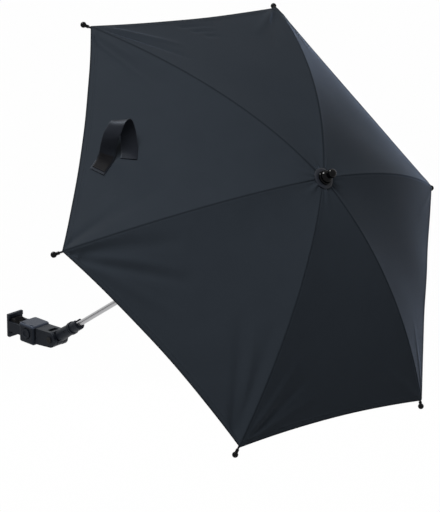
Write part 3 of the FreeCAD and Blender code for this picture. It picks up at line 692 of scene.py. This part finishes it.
def on_course(course, places):
    """Middle, width and face directions of a course at given ways along it."""
    way = way_along(course[0])
    return [np.stack([np.interp(places, way, values[:, k]) for k in range(3)], -1) for values in course]


def strap_stitches(sizes, canopy, course):
    """Box of stitches through the strap's sewn foot."""
    # In metres: one stitch, its pitch, its way in from the selvedge, and the box's ends along the strap
    length, pitch, inset, box_from, box_to = 0.0020, 0.0026, 0.0022, 0.0018, 0.0118
    # Thread against the hem's
    thicker = 1.2
    half = sizes.width / 2 - inset
    share = np.linspace(0, 1, len(STITCH_TAPER))
    runs = np.arange(box_from, box_to - length, pitch)[:, None] + share * length
    crosses = np.arange(-half, half - length, pitch)[:, None] + share * length
    places = np.concatenate([np.stack(np.broadcast_arrays(*pair), -1) for pair in
                             ((runs, -half), (runs, half), (box_from, crosses), (box_to, crosses))])
    middle, wide, face = on_course(course, places[..., 0])
    rise = sizes.thickness / 2 + canopy.thread * np.sin(math.pi * share)
    paths = middle + wide * places[..., 1:] - face * rise[:, None]
    radii = thicker * canopy.thread * STITCH_TAPER
    return swept_tubes("strap_stitches", paths, face[:, 2], radii, STITCH_SIDES)


# Hooks: radius of the curl and of the wire as shares of the height, angle of the curl and its steps
CURL_SHARE, WIRE_SHARE, CURL_TURN, CURL_STEPS = 1 / 3, 1 / 9, 1.2 * math.pi, 5
HOOK_SIDES = 5


def hook_rows(sizes, course):
    """Rows of bent hooks on the patch: each stands on it and curls over along the strap."""
    half = sizes.width / 2 - sizes.patch_inset - sizes.hook_pitch / 2
    last = way_along(course[0])[-1] - sizes.hook_pitch / 2
    runs = np.arange(sizes.hook_pitch / 2, last, sizes.hook_pitch)
    crosses = np.arange(-half, half, sizes.hook_pitch)
    places = np.stack(np.meshgrid(runs, crosses, indexing="ij"), -1).reshape(-1, 2)
    middle, wide, face = on_course(course, places[:, 0])
    curl = sizes.hook_height * CURL_SHARE
    bend = np.linspace(0, CURL_TURN, CURL_STEPS)
    along = np.concatenate(((0,), curl * (1 - np.cos(bend))))
    up = np.concatenate(((0,), sizes.hook_height - curl + curl * np.sin(bend)))
    foot = middle + wide * places[:, 1:]
    ahead = np.cross(wide, face)
    paths = foot[:, None] + ahead[:, None] * along[:, None] - face[:, None] * up[:, None]
    return swept_tubes("hook_rows", paths, wide, np.full(len(up), sizes.hook_height * WIRE_SHARE), HOOK_SIDES)


# Shader node building

def add_node(tree, kind, settings=None, inputs=None):
    """Node of a kind with its settings, and its inputs set to values or linked to sockets."""
    made = tree.nodes.new(kind)
    for name, value in (settings or {}).items():
        setattr(made, name, value)
    for key, value in (inputs or {}).items():
        if isinstance(value, bpy.types.NodeSocket):
            tree.links.new(value, made.inputs[key])
        else:
            made.inputs[key].default_value = value
    return made


def calculate(tree, operation, first, second=0.0):
    """Output of a Math node."""
    return add_node(tree, "ShaderNodeMath", {"operation": operation}, {0: first, 1: second}).outputs[0]


def mix_colours(tree, share, first, second):
    """Output of a colour mix."""
    return add_node(tree, "ShaderNodeMix", {"data_type": "RGBA"}, {0: share, 6: first, 7: second}).outputs[2]


def noise(tree, place, scale, detail, **more):
    """Output of a noise texture."""
    inputs = {"Vector": place, "Scale": scale, "Detail": detail, **more}
    return add_node(tree, "ShaderNodeTexNoise", None, inputs).outputs[0]


def spread(tree, value, low, high):
    """Value from 0 to 1 spread from low to high."""
    return add_node(tree, "ShaderNodeMapRange", None, {0: value, 3: low, 4: high}).outputs[0]


def new_group(name, inputs, outputs):
    """Shader node group with named sockets; inputs hold a name, a kind and a default."""
    tree = bpy.data.node_groups.new(name, "ShaderNodeTree")
    for label, kind, default in inputs:
        socket = tree.interface.new_socket(label, in_out="INPUT", socket_type=kind)
        if default is not None:
            socket.default_value = default
    for label, kind in outputs:
        tree.interface.new_socket(label, in_out="OUTPUT", socket_type=kind)
    return tree, tree.nodes.new("NodeGroupInput").outputs, tree.nodes.new("NodeGroupOutput").inputs


def weave_group():
    """Plain weave: two sets of round threads that pass over each other in turn."""
    inputs = (("Place", "NodeSocketVector", None), ("Threads", "NodeSocketFloat", 4000.0))
    outputs = (("Height", "NodeSocketFloat"), ("Over", "NodeSocketFloat"))
    tree, given, result = new_group("plain_weave", inputs, outputs)
    place = add_node(tree, "ShaderNodeSeparateXYZ", None, {0: given["Place"]})
    counts = [calculate(tree, "MULTIPLY", place.outputs[k], given["Threads"]) for k in (0, 1)]
    rounds = [calculate(tree, "ABSOLUTE", calculate(tree, "SINE", calculate(tree, "MULTIPLY", c, math.pi)))
              for c in counts]
    floors = [calculate(tree, "FLOOR", c) for c in counts]
    over = calculate(tree, "PINGPONG", calculate(tree, "ADD", floors[0], floors[1]), 1.0)
    warp = calculate(tree, "MULTIPLY", rounds[0], over)
    weft = calculate(tree, "MULTIPLY", rounds[1], calculate(tree, "SUBTRACT", 1.0, over))
    tree.links.new(calculate(tree, "ADD", warp, weft), result["Height"])
    tree.links.new(over, result["Over"])
    return tree


def grain_group():
    """Spark-eroded moulding grain: fine cells over a softer unevenness."""
    inputs = (("Place", "NodeSocketVector", None), ("Scale", "NodeSocketFloat", 2500.0))
    outputs = (("Height", "NodeSocketFloat"), ("Patches", "NodeSocketFloat"))
    tree, given, result = new_group("moulded_grain", inputs, outputs)
    cells = add_node(tree, "ShaderNodeTexVoronoi", None, {"Vector": given["Place"], "Scale": given["Scale"]})
    soft = noise(tree, given["Place"], calculate(tree, "MULTIPLY", given["Scale"], 0.05), 3.0)
    tree.links.new(cells.outputs["Distance"], result["Height"])
    tree.links.new(soft, result["Patches"])
    return tree


def edge_group():
    """Worn edges: where the rounded normal leaves the true one, broken up by noise."""
    inputs = (("Place", "NodeSocketVector", None), ("Radius", "NodeSocketFloat", 0.0006))
    outputs = (("Normal", "NodeSocketVector"), ("Wear", "NodeSocketFloat"))
    tree, given, result = new_group("rounded_edges", inputs, outputs)
    rounded = add_node(tree, "ShaderNodeBevel", {"samples": 6}, {"Radius": given["Radius"]})
    flat = add_node(tree, "ShaderNodeNewGeometry")
    same = add_node(tree, "ShaderNodeVectorMath", {"operation": "DOT_PRODUCT"},
                    {0: rounded.outputs[0], 1: flat.outputs["Normal"]})
    off = calculate(tree, "MULTIPLY", calculate(tree, "SUBTRACT", 1.0, same.outputs["Value"]), 6.0)
    wear = add_node(tree, "ShaderNodeMath", {"operation": "MULTIPLY", "use_clamp": True},
                    {0: off, 1: noise(tree, given["Place"], 420.0, 4.0)})
    tree.links.new(rounded.outputs[0], result["Normal"])
    tree.links.new(wear.outputs[0], result["Wear"])
    return tree


def empty_material(name):
    """Material of a name with no nodes, also where the frame brought one, and its node tree."""
    material = bpy.data.materials.get(name) or bpy.data.materials.new(name)
    material.use_nodes = True
    material.node_tree.nodes.clear()
    return material, material.node_tree


def show_surface(tree, surface):
    """Puts a shader's output out as the material's surface."""
    add_node(tree, "ShaderNodeOutputMaterial", None, {"Surface": surface})


def new_material(name, **constants):
    """Node tree and inputs of a material's Principled shader; plain values go on its own sockets."""
    tree = empty_material(name)[1]
    values = {label.replace("_", " "): value for label, value in constants.items()}
    shader = add_node(tree, "ShaderNodeBsdfPrincipled", None, values)
    show_surface(tree, shader.outputs[0])
    return tree, shader.inputs


def tint(colour, gain=1.0):
    """Colour with full alpha, made lighter or darker by a gain."""
    return (*(min(1.0, channel * gain) for channel in colour), 1.0)


def object_place(tree):
    """Object coordinates of the piece."""
    return add_node(tree, "ShaderNodeTexCoord").outputs["Object"]


def use_group(tree, name, inputs):
    """A shared effect placed in a material."""
    return add_node(tree, "ShaderNodeGroup", {"node_tree": bpy.data.node_groups[name]}, inputs).outputs


def point_value(tree, name):
    """Value of a point attribute."""
    return add_node(tree, "ShaderNodeAttribute", {"attribute_name": name}).outputs["Fac"]


def bump(tree, height, distance, strength, normal=None):
    """Normal raised by a height in metres."""
    inputs = {"Height": height, "Distance": distance, "Strength": strength}
    if normal is not None:
        inputs["Normal"] = normal
    return add_node(tree, "ShaderNodeBump", None, inputs).outputs[0]


def feed(tree, shader, colour, rough, normal=None):
    """Links what varies over the surface to the shader's colour, roughness and normal."""
    for label, value in (("Base Color", colour), ("Roughness", rough), ("Normal", normal)):
        if value is not None:
            tree.links.new(value, shader[label])


def weave_place(tree):
    """Weave coordinates of a sheet."""
    return add_node(tree, "ShaderNodeUVMap", {"uv_map": "weave"}).outputs[0]


def cloth_material(colours):
    """Plain-woven polyester with a soft sheen, and painted shade along its seams and along the hem's edge."""
    tree, shader = new_material("canopy_cloth", Specular_IOR_Level=0.015, Sheen_Weight=0.20,
                                Sheen_Roughness=0.24, Sheen_Tint=(0.46, 0.63, 1.0, 1.0))
    uv = weave_place(tree)
    weave = use_group(tree, "plain_weave", {"Place": uv, "Threads": 3600.0})
    cloud = noise(tree, uv, 26.0, 5.0, Roughness=0.6)
    drawn = add_node(tree, "ShaderNodeMapping", None, {"Vector": uv, "Scale": (60.0, 1800.0, 1.0)})
    slub = noise(tree, drawn.outputs[0], 1.0, 2.0)
    seam = point_value(tree, "seam")
    ground = mix_colours(tree, cloud, tint(colours.cloth, 0.90), tint(colours.cloth, 1.12))
    # The seam and hem-edge masks darken the colour as painted shade in the seam groove and under the rolled hem;
    # the weave mask is the weave's own pattern
    for mask, most, gain in ((weave["Over"], 0.35, 1.25), (seam, 0.60, 0.25),
                             (point_value(tree, "edge"), 0.85, 0.30)):
        ground = mix_colours(tree, calculate(tree, "MULTIPLY", mask, most), ground, tint(colours.cloth, gain))
    dull = calculate(tree, "MAXIMUM", point_value(tree, "inside"), seam)
    rough = calculate(tree, "ADD", spread(tree, cloud, 0.50, 0.60), calculate(tree, "MULTIPLY", dull, 0.25))
    raised = calculate(tree, "ADD", weave["Height"], calculate(tree, "MULTIPLY", slub, 0.6))
    feed(tree, shader, ground, rough, bump(tree, raised, 0.00006, 0.35))


def thread_material(colours):
    """Twisted sewing thread."""
    tree, shader = new_material("sewing_thread", Specular_IOR_Level=0.15)
    twist = add_node(tree, "ShaderNodeTexWave", {"bands_direction": "DIAGONAL"},
                     {"Vector": object_place(tree), "Scale": 900.0, "Distortion": 1.5}).outputs["Fac"]
    ground = mix_colours(tree, twist, tint(colours.cloth, 0.35), tint(colours.cloth, 0.75))
    feed(tree, shader, ground, spread(tree, twist, 0.45, 0.62), bump(tree, twist, 0.00008, 0.6))


def webbing_material(colours):
    """Satin webbing with close cords along it and a woven selvedge."""
    tree, shader = new_material("strap_webbing", Specular_IOR_Level=0.15, Specular_Tint=SKY_TINT)
    uv = weave_place(tree)
    weave = use_group(tree, "plain_weave", {"Place": uv, "Threads": 1500.0})
    cords = add_node(tree, "ShaderNodeTexWave", {"bands_direction": "X", "wave_profile": "SIN"},
                     {"Vector": uv, "Scale": 230.0, "Distortion": 0.2, "Detail": 1.0}).outputs["Fac"]
    worn = noise(tree, uv, 160.0, 4.0)
    ground = mix_colours(tree, cords, tint(colours.strap, 0.7), tint(colours.strap, 1.25))
    ground = mix_colours(tree, calculate(tree, "MULTIPLY", worn, 0.3), ground, tint(colours.strap, 1.8))
    raised = calculate(tree, "ADD", cords, calculate(tree, "MULTIPLY", weave["Height"], 0.5))
    feed(tree, shader, ground, spread(tree, worn, 0.44, 0.60), bump(tree, raised, 0.00012, 0.5))


def hook_material(colours):
    """Hook tape: a woven ground under stiff plastic hooks."""
    tree, shader = new_material("hook_tape", Specular_IOR_Level=0.10)
    fuzz = noise(tree, object_place(tree), 900.0, 5.0)
    ground = mix_colours(tree, fuzz, tint(colours.hooks, 0.6), tint(colours.hooks, 1.5))
    feed(tree, shader, ground, spread(tree, fuzz, 0.5, 0.8), bump(tree, fuzz, 0.00015, 0.7))


def moulded_material(name, colour, grain, rough, wear, **constants):
    """Moulded plastic: grain of a given scale, uneven gloss and lighter worn edges."""
    tree, shader = new_material(name, **constants)
    place = object_place(tree)
    texture = use_group(tree, "moulded_grain", {"Place": place, "Scale": grain})
    edges = use_group(tree, "rounded_edges", {"Place": place, "Radius": 0.0005})
    ground = mix_colours(tree, texture["Patches"], tint(colour, 0.88), tint(colour, 1.12))
    worn = calculate(tree, "MULTIPLY", edges["Wear"], wear)
    feed(tree, shader, mix_colours(tree, worn, ground, tint(colour, 4.0)),
         spread(tree, texture["Patches"], rough - 0.05, rough + 0.06),
         bump(tree, texture["Height"], 0.00006, 0.3, edges["Normal"]))


def gloss_material(colours):
    """Polished black plastic under a clear coat, with faint rub marks."""
    tree, shader = new_material("gloss_black", Coat_Roughness=0.03, Specular_IOR_Level=0.05)
    place = object_place(tree)
    texture = use_group(tree, "moulded_grain", {"Place": place, "Scale": 900.0})
    rubbed = noise(tree, place, 700.0, 6.0, Roughness=0.7)
    ground = mix_colours(tree, texture["Patches"], tint(colours.gloss, 0.8), tint(colours.gloss, 1.3))
    feed(tree, shader, ground, spread(tree, rubbed, 0.06, 0.20))
    tree.links.new(spread(tree, rubbed, 0.09, 0.06), shader["Coat Weight"])


def shaft_material(colours):
    """Drawn and anodised aluminium with fine lines along the shaft."""
    tree, shader = new_material("satin_aluminium", Metallic=1.0, Specular_IOR_Level=0.5)
    turn = (0.0, ARM_RISE - math.pi / 2, 0.0)
    place = add_node(tree, "ShaderNodeMapping", None,
                     {"Vector": object_place(tree), "Rotation": turn, "Scale": (1.0, 1.0, 0.006)}).outputs[0]
    lines = noise(tree, place, 3200.0, 3.0)
    cloud = noise(tree, place, 150.0, 2.0)
    ground = mix_colours(tree, lines, tint(colours.aluminium, 0.90), tint(colours.aluminium, 1.06))
    feed(tree, shader, ground, spread(tree, cloud, 0.24, 0.36), bump(tree, lines, 0.00002, 0.35))


def metal_material(name, colour, rough, **constants):
    """Zinc-plated or lacquered steel with faint drawing marks and bright worn edges."""
    tree, shader = new_material(name, **constants)
    place = object_place(tree)
    edges = use_group(tree, "rounded_edges", {"Place": place, "Radius": 0.0002})
    marks = noise(tree, place, 1500.0, 4.0, Distortion=0.6)
    ground = mix_colours(tree, marks, tint(colour, 0.85), tint(colour, 1.1))
    worn = calculate(tree, "MULTIPLY", edges["Wear"], 0.25)
    feed(tree, shader, mix_colours(tree, worn, ground, tint(colour, 1.6)),
         spread(tree, marks, rough - 0.08, rough + 0.08), bump(tree, marks, 0.00002, 0.3, edges["Normal"]))


def make_finishes(colours):
    """All shared effects and finishes, made once."""
    for group in (weave_group, grain_group, edge_group):
        group()
    for material in (cloth_material, thread_material, webbing_material, hook_material, gloss_material,
                     shaft_material):
        material(colours)
    moulded_material("black_plastic", colours.plastic, 2600.0, 0.46, 0.5, Specular_IOR_Level=0.19,
                     Specular_Tint=SKY_TINT)
    moulded_material("grey_plastic", colours.cover, 2600.0, 0.42, 0.6, Specular_IOR_Level=0.25,
                     Specular_Tint=SKY_TINT)
    moulded_material("washer_plastic", colours.washer, 1800.0, 0.58, 0.8, Specular_IOR_Level=0.2)
    moulded_material("pad_rubber", colours.rubber, 1200.0, 0.78, 0.1, Specular_IOR_Level=0.3)
    moulded_material("nylon", colours.nylon, 2000.0, 0.5, 0.05)
    metal_material("steel", colours.steel, 0.32, Metallic=1.0)
    metal_material("black_steel", colours.black_steel, 0.42, Specular_IOR_Level=0.15)


def dress(piece, material):
    """Gives a new piece its finish."""
    piece.data.materials.append(bpy.data.materials[material])


# Operators

class PARASOL_OT_finishes(Operator):
    """Makes the finishes and puts them on the rigid parts"""

    bl_idname = "parasol.finishes"
    bl_label = "Finishes of the rigid parts"

    def execute(self, context):
        make_finishes(context.scene.parasol_colours)
        for row in frame["record"]["subparts"]:
            mesh = frame["nodes"][row["node"]].data
            mesh.materials.clear()
            mesh.materials.append(bpy.data.materials[row["material_slot"]])
        return {"FINISHED"}


class PARASOL_OT_canopy(Operator):
    """Makes the cloth over each rib with its seam, hem and stitches"""

    bl_idname = "parasol.canopy"
    bl_label = "Canopy cloth"

    def execute(self, context):
        sizes = context.scene.parasol_canopy
        for number in RIB_NUMBERS:
            cloth = canopy_cloth(sizes, number)
            dress(cloth, "canopy_cloth")
            stitches = hem_stitches(sizes, number)
            dress(stitches, "sewing_thread")
            for piece in (cloth, stitches):
                fold_with_rib(piece, number)
            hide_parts(f"canopy_panel_{number}")
        return {"FINISHED"}


# Grid steps across the webbing and the patch, and the gap between them in metres
WEBBING_STEPS, PATCH_STEPS, PATCH_GAP = 16, 12, 0.0002


class PARASOL_OT_strap(Operator):
    """Makes the closing strap with its sewn foot and its hook patch"""

    bl_idname = "parasol.strap"
    bl_label = "Closing strap"

    def execute(self, context):
        sizes = context.scene.parasol_strap
        canopy = context.scene.parasol_canopy
        course = strap_course(sizes, canopy)
        strap, length = ribbon("closing_strap_webbing", *course,
                               ribbon_section(sizes.width, sizes.thickness, WEBBING_STEPS))
        dress(strap, "strap_webbing")
        stitches = strap_stitches(sizes, canopy, course)
        dress(stitches, "sewing_thread")
        first, last = (round(STRAP_STEPS * share) for share in (sizes.patch_from, sizes.patch_to))
        middle, wide, face = (part[first:last + 1] for part in course)
        lift = -(sizes.thickness / 2 + PATCH_GAP + sizes.patch_thickness / 2)
        patch_width = sizes.width - 2 * sizes.patch_inset
        patch, patch_length = ribbon("hook_patch", middle + face * lift, wide, face,
                                     ribbon_section(patch_width, sizes.patch_thickness, PATCH_STEPS))
        dress(patch, "hook_tape")
        hooks = hook_rows(sizes, (middle + face * (lift - sizes.patch_thickness / 2), wide, face))
        dress(hooks, "hook_tape")
        for piece in (strap, stitches, patch, hooks):
            fold_with_rib(piece, sizes.rib)
        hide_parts("closing_strap")
        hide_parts("strap_patch")
        return {"FINISHED"}


# Steps of the cap's profile round each bead, up the flare and over the ball, and steps round the cap
BEAD_STEPS, FLARE_STEPS, BALL_STEPS, CAP_STEPS = 6, 24, 32, 96


def cap_profile(sizes, canopy):
    """Radii and heights of the cap over the elbow: stem, skirt with rounded edges, domed flare and ball."""
    base = canopy.crown_height + sizes.washer_gap + sizes.washer_thickness
    bead = sizes.bead
    rim = sizes.skirt_radius - bead
    foot = np.linspace(0, math.pi / 2, BEAD_STEPS)
    sweep = np.linspace(0, 1, FLARE_STEPS)[1:] * math.pi / 2
    arc = np.linspace(math.pi - math.asin(sizes.neck_radius / sizes.ball_radius), 0, BALL_STEPS)
    stem = canopy.crown_height - sizes.stem_length - base
    radii = np.concatenate(((0, sizes.stem_radius, sizes.stem_radius),
                            rim + bead * np.sin(foot), rim + bead * np.cos(foot),
                            sizes.neck_radius + (rim - sizes.neck_radius) * np.cos(sweep),
                            sizes.ball_radius * np.sin(arc)))
    heights = np.concatenate(((stem, stem, 0),
                              bead - bead * np.cos(foot), sizes.skirt_height - bead + bead * np.sin(foot),
                              sizes.skirt_height + (sizes.neck_height - sizes.skirt_height) * np.sin(sweep),
                              sizes.ball_height + sizes.ball_radius * np.cos(arc)))
    radii[-1] = 0
    return radii, base + heights


class PARASOL_OT_cap(Operator):
    """Makes the turned cap with its ball"""

    bl_idname = "parasol.cap"
    bl_label = "Cap"

    def execute(self, context):
        profile = cap_profile(context.scene.parasol_cap, context.scene.parasol_canopy)
        cap = turned("cap_with_ball", *profile, CAP_STEPS)
        dress(cap, "gloss_black")
        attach(cap, "arm")
        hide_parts("finial")
        return {"FINISHED"}


class PARASOL_OT_spring(Operator):
    """Gives the button's return spring a mesh of its own"""

    bl_idname = "parasol.spring"
    bl_label = "Button spring"

    def execute(self, context):
        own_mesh(frame["nodes"]["button_spring"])
        return {"FINISHED"}


def light_path_share(tree):
    """1 for rays from the camera, reflections and transmission, and 0 for the light that falls on things."""
    path = add_node(tree, "ShaderNodeLightPath").outputs
    seen = calculate(tree, "MAXIMUM", path["Is Camera Ray"], path["Is Glossy Ray"])
    return calculate(tree, "MAXIMUM", seen, path["Is Transmission Ray"])


def floor_material(studio):
    """Pale paint that shows mostly plain white and keeps a shadow; clear from below."""
    material, tree = empty_material("studio_floor")
    paint = add_node(tree, "ShaderNodeBsdfDiffuse", None, {"Color": tint(studio.floor_tone)}).outputs[0]
    white = add_node(tree, "ShaderNodeEmission", None, {"Strength": 1.0}).outputs[0]
    share = calculate(tree, "MULTIPLY", light_path_share(tree), studio.floor_white)
    seen = add_node(tree, "ShaderNodeMixShader", None, {0: share, 1: paint, 2: white}).outputs[0]
    below = add_node(tree, "ShaderNodeNewGeometry").outputs["Backfacing"]
    clear = add_node(tree, "ShaderNodeBsdfTransparent").outputs[0]
    show_surface(tree, add_node(tree, "ShaderNodeMixShader", None, {0: below, 1: seen, 2: clear}).outputs[0])
    return material


def studio_world(studio):
    """White room that is seen at full white and lights the object at a plain level."""
    world = bpy.data.worlds.new("studio")
    bpy.context.scene.world = world
    world.use_nodes = True
    tree = world.node_tree
    tree.nodes.clear()
    strength = spread(tree, light_path_share(tree), studio.room_light, 1.0)
    room = add_node(tree, "ShaderNodeBackground", None, {"Color": (1, 1, 1, 1), "Strength": strength})
    add_node(tree, "ShaderNodeOutputWorld", None, {"Surface": room.outputs[0]})


# Way from the shaft to the dark card: to the right, up and towards the camera
FLAG_WAY = (-0.97, -0.20, -0.12)


def add_flag(studio, axes):
    """Dark card beside the shaft that only reflections see, as a studio has for metal."""
    way = Vector(np.array(FLAG_WAY) @ axes).normalized()
    side = way.orthogonal().normalized() * studio.flag_side / 2
    other = way.cross(side)
    place = Vector(ELBOW + ARM_UP * studio.flag_height) + way * studio.flag_distance
    corners = [place + a * side + b * other for a, b in ((-1, -1), (1, -1), (1, 1), (-1, 1))]
    card = make_piece("studio_flag", corners, [[0, 1, 2, 3]])
    material, tree = empty_material("studio_flag")
    show_surface(tree, add_node(tree, "ShaderNodeEmission", None, {"Strength": studio.flag_glow}).outputs[0])
    card.data.materials.append(material)
    card.visible_camera = card.visible_diffuse = card.visible_shadow = card.visible_transmission = False


def add_lamp(name, place, aim, size, power, use):
    """Square lamp at a place, turned towards the aim, for plain light or only to be mirrored."""
    light = bpy.data.lights.new(name, "AREA")
    light.shape = "SQUARE"
    light.size = size
    light.energy = power
    lamp = bpy.data.objects.new(name, light)
    lamp.location = place
    lamp.rotation_euler = (Vector(aim) - Vector(place)).to_track_quat("-Z", "Y").to_euler()
    lamp.visible_glossy = use == "mirrored"
    lamp.visible_diffuse = use == "plain"
    bpy.context.scene.collection.objects.link(lamp)


# Points round the floor, and the camera's far limit in floor radii
FLOOR_STEPS, FAR_LIMIT = 64, 4


class PARASOL_OT_studio(Operator):
    """Makes the floor, the light and the camera"""

    bl_idname = "parasol.studio"
    bl_label = "Studio"

    def execute(self, context):
        studio = context.scene.parasol_studio
        turn = np.linspace(0, 2 * math.pi, FLOOR_STEPS, endpoint=False)
        ring = np.stack((np.cos(turn), np.sin(turn), np.zeros(FLOOR_STEPS)), -1) * studio.floor_radius
        ring = ring - np.array((0, 0, studio.floor_drop))
        floor = make_piece("studio_floor", ring, [list(range(FLOOR_STEPS))])
        floor.data.materials.append(floor_material(studio))
        studio_world(studio)
        a, e = studio.azimuth, studio.elevation
        back = Vector((math.sin(a) * math.cos(e), -math.cos(a) * math.cos(e), math.sin(e)))
        right = Vector((math.cos(a), math.sin(a), 0.0))
        up = back.cross(right)
        axes = np.array((right, up, back))
        centre = Vector(studio.centre)
        camera = bpy.data.objects.new("camera", bpy.data.cameras.new("camera"))
        camera.data.lens = studio.lens
        camera.data.clip_end = FAR_LIMIT * studio.floor_radius
        camera.location = centre + back * studio.distance
        aim = centre + right * studio.aim_right - up * studio.aim_down
        facing = (aim - camera.location).to_track_quat("-Z", "Y")
        camera.rotation_euler = (facing @ Quaternion((0, 0, 1), studio.roll)).to_euler()
        context.scene.collection.objects.link(camera)
        context.scene.camera = camera
        for name, (*way, side, power, use) in LAMPS.items():
            place = centre + studio.lamp_distance * Vector(np.array(way) @ axes).normalized()
            add_lamp(name, place, centre, side, power, use)
        add_flag(studio, axes)
        context.scene.view_settings.view_transform = "Standard"
        return {"FINISHED"}


OPERATORS = (PARASOL_OT_finishes, PARASOL_OT_spring, PARASOL_OT_canopy, PARASOL_OT_strap,
             PARASOL_OT_cap, PARASOL_OT_studio)


class PARASOL_PT_sidebar(Panel):
    """Lists the parasol's steps in the 3D view's sidebar"""

    bl_idname = "PARASOL_PT_sidebar"
    bl_label = "Parasol"
    bl_space_type = "VIEW_3D"
    bl_region_type = "UI"
    bl_category = "Parasol"

    def draw(self, context):
        for operator in OPERATORS:
            self.layout.operator(operator.bl_idname)


SETTINGS = {
    "parasol_canopy": CanopySizes,
    "parasol_strap": StrapSizes,
    "parasol_cap": CapSizes,
    "parasol_colours": FinishColours,
    "parasol_studio": StudioSettings,
}


def register():
    for group in SETTINGS.values():
        bpy.utils.register_class(group)
    for name, group in SETTINGS.items():
        setattr(bpy.types.Scene, name, PointerProperty(type=group))
    for operator in OPERATORS:
        bpy.utils.register_class(operator)
    bpy.utils.register_class(PARASOL_PT_sidebar)


def unregister():
    bpy.utils.unregister_class(PARASOL_PT_sidebar)
    for operator in reversed(OPERATORS):
        bpy.utils.unregister_class(operator)
    for name, group in SETTINGS.items():
        delattr(bpy.types.Scene, name)
        bpy.utils.unregister_class(group)


def main():
    register()
    for name in ("finishes", "spring", "canopy", "strap", "cap", "studio"):
        getattr(bpy.ops.parasol, name)()


if __name__ == "__main__":
    main()
